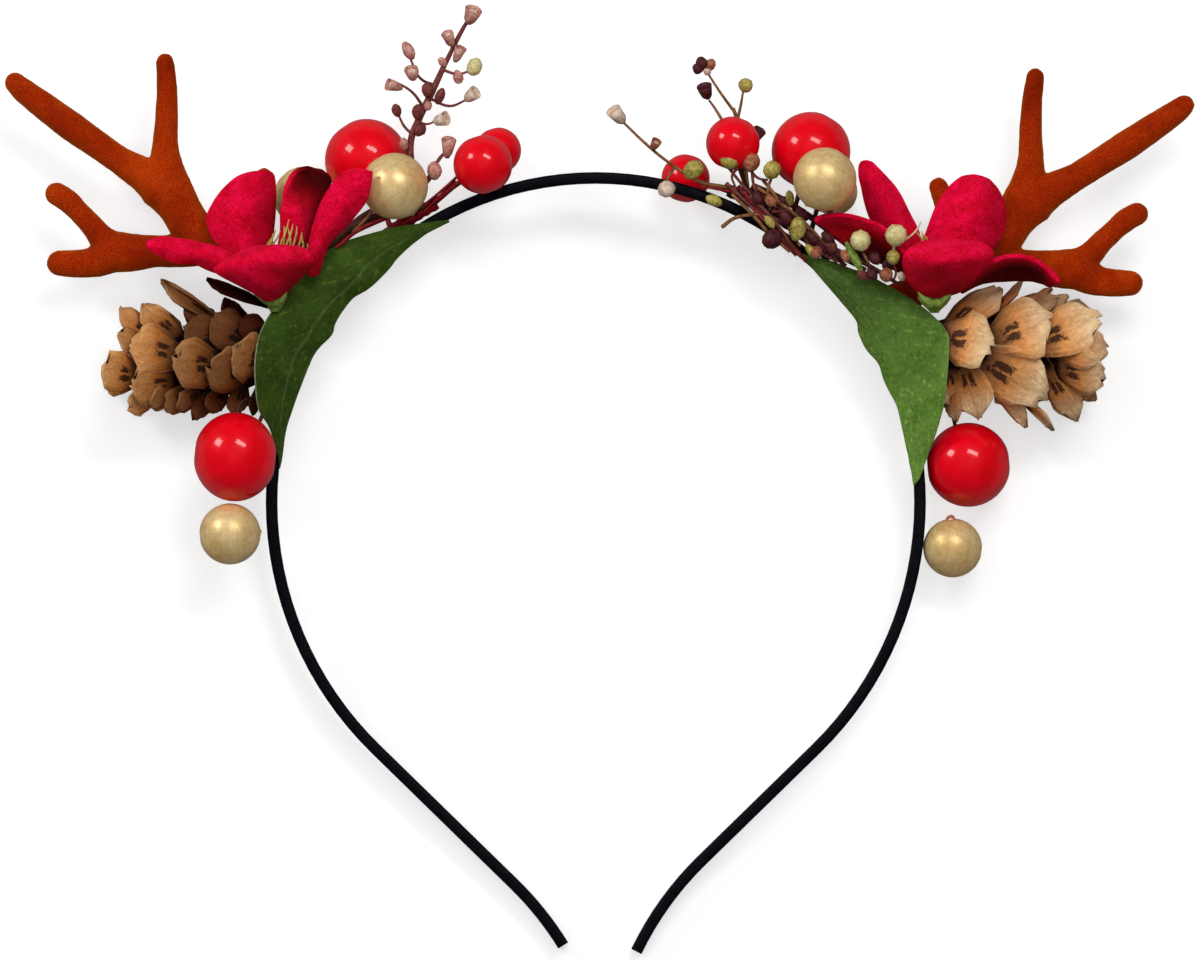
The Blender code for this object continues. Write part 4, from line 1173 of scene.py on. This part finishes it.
# Sprigs, the twig bundles and the berries' stalks: stems and small heads laid out in the picture
sprigLook = {
    "taper": (0.88, 0.7),  # of a stem's radius, along its middle and at its tip
    "sides": 10,
    "lean": (0.5, 1.6),  # mm to the front from foot to top, for a bud and a cup
    # the cup's pale inside is partly its own pale colour and partly a painted highlight
    "inside": (0.74, 0.5, 0.42),  # a cup's pale inside: width, height, where it starts
    "fray": 0.14,
}
headShapes = {
    # (radius, height) rows for a head one wide and one tall, from its foot
    "bud": [(0, 0), (0.16, 0.02), (0.38, 0.2), (0.5, 0.46), (0.42, 0.76), (0.2, 0.96), (0, 1)],
    "cup": [(0, 0), (0.16, 0.02), (0.34, 0.26), (0.42, 0.62), (0.5, 1), (0.42, 0.98), (0.33, 0.66), (0.24, 0.34),
            (0, 0.22)],
    "ball": [(0, 0), (0.2, 0.05), (0.42, 0.24), (0.5, 0.5), (0.43, 0.76), (0.22, 0.95), (0.08, 0.93), (0, 0.9)],
}
sprigs = {
    "sprig_left": {
        "stems": [
            # look, radius mm, rows of (px, py, depth)
            ("bark", 0.75, [(413, 206, 0), (412, 172, 0.3), (411, 140, 0.6), (419, 119, 0.4), (432, 92, 0.2),
            (444, 66, 0.2)]),
            ("bark", 0.5, [(444, 66, 0.2), (452, 50, 0.1), (460, 34, 0), (468, 20, 0)]),
            ("bark", 0.3, [(424, 108, 0.3), (412, 92, 1.6), (400, 84, 2)]),
            ("bark", 0.3, [(437, 86, 0.2), (420, 78, -1.4), (410, 58, -1.8)]),
            ("bark", 0.3, [(431, 99, 0.3), (450, 106, 1.2), (466, 100, 1.6)]),
            ("bark", 0.3, [(443, 70, 0.2), (458, 74, 0.9), (472, 70, 1.2)]),
            ("bark", 0.3, [(414, 136, 0.5), (404, 126, 1), (399, 116, 1.2)]),
            ("bark", 0.4, [(413, 206, 0), (424, 186, 1.4), (440, 158, 2), (448, 150, 2)]),
            ("bark", 0.35, [(424, 186, 1.4), (432, 176, 2.2), (436, 168, 2.4)]),
            ("bark", 0.25, [(418, 122, 0.5), (428, 124, 1), (435, 121, 1.2)]),
            ("bark", 0.25, [(424, 110, 0.5), (427, 104, 0.9), (428, 97, 1)]),
            ("bark", 0.25, [(409, 158, 0.5), (406, 154, 1), (406, 149, 1.3)]),
            ("wire", 0.3, [(458, 176, 3), (440, 192, 3), (420, 208, 2.6)]),
            ("wire", 0.3, [(456, 181, 2.4), (438, 198, 2.4), (424, 212, 2.2)]),
        ],
        "heads": [
            # shape, look, foot (px, py), top (px, py), depth, width px
            ("cup", "blush", 468, 24, 474, 9, 0, 18), ("cup", "blush", 452, 46, 447, 33, 0.6, 13),
            ("cup", "blush", 455, 62, 461, 48, 0.4, 12), ("bud", "blush", 413, 60, 404, 42, -1.8, 12),
            ("cup", "blush", 414, 80, 411, 69, -0.6, 15), ("cup", "blush", 402, 88, 388, 84, 2, 13),
            ("bud", "bark", 399, 117, 394, 104, 1.2, 10), ("bud", "bark", 428, 98, 427, 82, 1, 12),
            ("bud", "bark", 437, 104, 443, 88, 1, 10), ("bud", "bark", 417, 120, 419, 104, 1.2, 13),
            ("bud", "bark", 416, 136, 424, 124, 1.4, 12), ("cup", "cream", 434, 122, 446, 118, 1.2, 15),
            ("ball", "straw", 471, 76, 478, 58, 1.2, 16), ("bud", "blush", 456, 70, 460, 84, 1, 11),
            ("cup", "cream", 465, 100, 476, 92, 1.6, 15), ("cup", "blush", 447, 158, 449, 139, 2, 15),
            ("bud", "blush", 435, 180, 434, 161, 2.6, 15), ("bud", "blush", 406, 150, 402, 138, 1.4, 10),
            ("bud", "blush", 425, 110, 431, 102, 1, 9), ("bud", "bark", 432, 94, 424, 88, 0.8, 9),
            ("bud", "blush", 446, 66, 439, 58, 0.8, 8),
        ],
    },
    "sprig_right_long": {
        "stems": [
            ("tan", 0.45, [(745, 190, 2.4), (725, 187, 3.4), (700, 182, 3.9), (690, 177, 4.1)]),
            ("tan", 0.33, [(690, 177, 4.1), (664, 159, 4.1), (646, 144, 4.1), (624, 123, 4.1)]),
            ("wire", 0.32, [(745, 194, 3), (728, 191, 3.6), (700, 186, 3.8)]),
            ("tan", 0.28, [(674, 168, 4.1), (668, 178, 4.4), (667, 186, 4.4)]),
        ],
        "heads": [
            ("cup", "cream", 624, 123, 613, 110, 4.1, 17), ("cup", "rust", 652, 150, 657, 141, 4.3, 11),
            ("ball", "olive", 684, 176, 703, 163, 4.6, 18), ("ball", "cream", 675, 186, 658, 192, 4.8, 17),
            ("bud", "olive", 722, 204, 706, 197, 4.6, 12),
        ],
    },
    "sprig_right_tall": {
        "stems": [
            ("tan", 0.5, [(748, 196, -2), (744, 160, -2.4), (738, 122, -2.6), (733, 108, -2.8)]),
            ("tan", 0.3, [(733, 110, -2.8), (720, 92, -2.8), (707, 72, -2.6)]),
            ("tan", 0.3, [(738, 118, -2.6), (741, 104, -2.6), (743, 92, -2.6)]),
            ("tan", 0.3, [(722, 120, -2.4), (716, 110, -2.4), (709, 100, -2.4)]),
            ("tan", 0.3, [(744, 160, -2.4), (728, 136, -2.4), (722, 120, -2.4)]),
            ("tan", 0.3, [(744, 160, -2.4), (750, 150, -2.4), (752, 140, -2.4)]),
        ],
        "heads": [
            ("bud", "husk", 703, 71, 693, 66, -2.4, 12), ("bud", "husk", 704, 70, 700, 57, -2.2, 13),
            ("bud", "rust", 706, 70, 714, 60, -2.6, 12), ("ball", "cream", 706, 75, 708, 68, -2, 8),
            ("cup", "husk", 708, 99, 704, 86, -2.2, 16), ("ball", "olive", 742, 92, 749, 79, -2.6, 15),
            ("cup", "husk", 751, 144, 760, 130, -2.4, 14),
        ],
    },
    "bundleTwigs": {
        "stems": [
            ("wire", 0.42, [(738, 186, 3.6), (762, 208, 4.4), (784, 234, 4.8), (806, 262, 4.6)]),
            ("tan", 0.4, [(732, 194, 3.6), (752, 214, 5), (772, 236, 5.4), (790, 252, 5)]),
            ("husk", 0.6, [(748, 190, 3.2), (778, 212, 4.8), (806, 234, 6.2), (840, 256, 6.8), (866, 270, 6.6)]),
            ("husk", 0.5, [(740, 190, 4.4), (766, 214, 5.6), (790, 226, 6.4), (826, 252, 6.8)]),
            ("bark", 0.45, [(756, 186, 4), (776, 204, 5.4), (794, 222, 6), (812, 246, 6.4), (838, 262, 6.2)]),
            ("tan", 0.35, [(763, 180, 4), (778, 200, 5.6), (786, 222, 6.2), (800, 246, 6.4)]),
            ("bark", 0.4, [(726, 183, 4.2), (742, 198, 4.6), (770, 226, 5.4), (800, 256, 5.2)]),
            ("bark", 0.32, [(729, 168, 5), (740, 182, 4.8), (758, 202, 5)]),
            ("bark", 0.32, [(752, 170, 5), (754, 186, 5), (764, 206, 5.4)]),
            ("tan", 0.3, [(772, 176, 5), (768, 190, 5), (770, 210, 5.4)]),
            ("husk", 0.7, [(752, 186, 2.4), (776, 196, 3.6), (800, 210, 4.6), (836, 236, 5.2), (868, 262, 5.4)]),
            ("husk", 0.55, [(762, 196, 5.4), (782, 206, 6.4), (802, 226, 6.8), (820, 244, 6.8), (846, 266, 6.2)]),
            ("bark", 0.4, [(750, 196, 5.4), (772, 218, 6.2), (788, 240, 6), (798, 254, 5.4)]),
            ("wire", 0.35, [(744, 192, 4.8), (762, 216, 5.4), (780, 238, 5.2), (796, 256, 4.8)]),
            ("tan", 0.35, [(758, 188, 5.6), (790, 210, 7), (814, 232, 7.4), (832, 252, 7)]),
            ("tan", 0.4, [(722, 227, 3.2), (735, 218, 4.6), (762, 214, 5.4)]),
            ("husk", 0.5, [(836, 250, 6.6), (862, 262, 7.4), (886, 276, 8.6), (898, 284, 9.4)]),
            ("tan", 0.3, [(860, 247, 9.2), (866, 258, 8.6), (872, 270, 7.8)]),
            ("cream", 0.3, [(895, 242, 11.4), (892, 256, 10), (884, 270, 8.8)]),
            ("thread", 0.22, [(905, 240, 11.6), (915, 232, 12), (921, 222, 11.8)]),
            ("bark", 0.3, [(893, 262, 10.6), (896, 272, 10), (894, 280, 9.4)]),
            ("bark", 0.3, [(772, 212, 5), (784, 210, 6), (791, 204, 6.8)]),
            ("tan", 0.3, [(790, 232, 5.6), (794, 240, 6.8), (796, 241, 7.2)]),
            ("bark", 0.3, [(750, 170, 5.4), (758, 178, 5), (768, 180, 5.6)]),
            ("bark", 0.28, [(738, 168, 5.6), (732, 176, 5), (735, 186, 4.6)]),
        ],
        "heads": [
            ("ball", "olive", 738, 166, 721, 156, 6, 16), ("ball", "rust", 748, 172, 755, 153, 6, 17),
            ("ball", "olive", 768, 179, 776, 161, 6, 18), ("bud", "olive", 791, 206, 789, 190, 6.8, 9),
            ("ball", "olive", 796, 241, 800, 216, 7.4, 17), ("ball", "rust", 812, 258, 820, 247, 7.4, 13),
            ("bud", "husk", 780, 232, 764, 246, 6.6, 20), ("bud", "rust", 766, 196, 775, 206, 6.6, 11),
            ("bud", "husk", 782, 210, 790, 224, 7, 12), ("ball", "straw", 864, 251, 857, 230, 10, 21),
            ("ball", "straw", 895, 247, 897, 224, 12.4, 22), ("ball", "olive", 893, 265, 893, 250, 11.6, 14),
            ("ball", "rust", 888, 282, 884, 268, 10.6, 14), ("ball", "cream", 903, 281, 900, 272, 10.8, 9),
            ("bud", "husk", 870, 252, 880, 264, 8.6, 13), ("bud", "husk", 886, 258, 890, 272, 8.8, 12),
            ("bud", "bark", 826, 240, 836, 252, 7.4, 12), ("bud", "bark", 858, 270, 868, 280, 8, 10),
            ("bud", "green", 846, 242, 862, 272, 8.2, 10), ("bud", "husk", 806, 230, 818, 244, 7.2, 10),
            ("bud", "husk", 796, 208, 808, 220, 6.4, 12), ("bud", "husk", 822, 232, 834, 244, 7.6, 12),
            ("bud", "olive", 766, 216, 774, 228, 6.6, 9), ("bud", "husk", 754, 192, 762, 204, 5.8, 11),
            ("bud", "rust", 842, 250, 850, 262, 7.8, 11), ("bud", "husk", 778, 198, 788, 204, 6, 10),
            ("bud", "husk", 868, 268, 876, 280, 8.6, 11), ("bud", "olive", 806, 244, 814, 256, 7.2, 8),
        ],
    },
    "bundleTape": {
        "stems": [
            ("tan", 0.4, [(352, 232, 4.6), (364, 221, 5.2), (376, 206, 5.6)]),
            ("tape", 0.9, [(326, 252, 3.2), (350, 233, 3.8), (374, 221, 4.2), (398, 212, 4), (424, 206, 3.4)]),
            ("tape", 0.6, [(330, 246, 4.4), (354, 226, 4.8), (380, 214, 4.8), (404, 208, 4.2)]),
            ("husk", 0.6, [(340, 236, 4), (366, 214, 4.2), (392, 204, 4), (420, 200, 3.4)]),
            ("wire", 0.4, [(336, 248, 4.8), (362, 228, 5.2), (388, 218, 5), (414, 212, 4.2)]),
        ],
        "heads": [],
    },
    "stalks": {
        "stems": [
            ("tape", 0.4, [(272, 384, 1), (256, 396, 4), (240, 404, 7), (237, 422, 8.3)]),
            ("tape", 0.45, [(274, 390, 1), (268, 404, 4.5), (262, 416, 7), (257, 428, 8.3)]),
            ("tape", 0.5, [(925, 396, 1), (940, 402, 1), (951, 412, 0), (956, 430, -1)]),
        ],
        "heads": [("cup", "rust", 953, 527, 950.6, 518, 0, 9)],
    },
}


def makeSprig(node):
    facts = sprigs[node]
    inCad = node.startswith("sprig")
    rowsOf, shapesOf = {}, {}
    thin, thinTip = sprigLook["taper"]
    innerWide, innerTall, innerFoot = sprigLook["inside"]
    for look, radius, points in facts["stems"]:
        radii = [radius, *[radius * thin] * (len(points) - 2), radius * thinTip]
        rowsOf.setdefault(look, []).append((radii, [at(*point) for point in points]))
    for shape, look, footX, footY, topX, topY, depth, width in facts["heads"]:
        foot, top = at(footX, footY, depth), at(topX, topY, depth + sprigLook["lean"][shape == "cup"])
        tall, wide = (top - foot).length / millimetre, width * shot["pixel"]
        profile = [(r * wide, h * tall) for r, h in headShapes[shape]]
        turned(shapesOf.setdefault(look, bmesh.new()), profile, sprigLook["sides"], along(foot, top))
        # a pale inner shape: partly the cup's own colour, partly a painted highlight
        if shape == "cup" and look != "husk":  # its pale inside
            inner = [(r * wide * innerWide, h * tall * innerTall) for r, h in headShapes["ball"]]
            where = along(foot.lerp(top, innerFoot), top)
            turned(shapesOf.setdefault("cream", bmesh.new()), inner, sprigLook["sides"], where)
    for index, look in enumerate(sorted(rowsOf)):
        name = camel(node) + look.capitalize()
        replaced = [node] if inCad and index == 0 else []
        finish(name if not replaced else camel(node), tubes(name, rowsOf[look]), looks[look], replaced)
    for look, bm in shapesOf.items():
        for vert in bm.verts:
            vert.co += noise.noise_vector(vert.co * 800) * sprigLook["fray"] * millimetre
        name = camel(node) + look.capitalize() + "Heads"
        finish(name, meshOf(name, bm), looks[look])


for node in sprigs:
    makeSprig(node)
print("sprigs made")
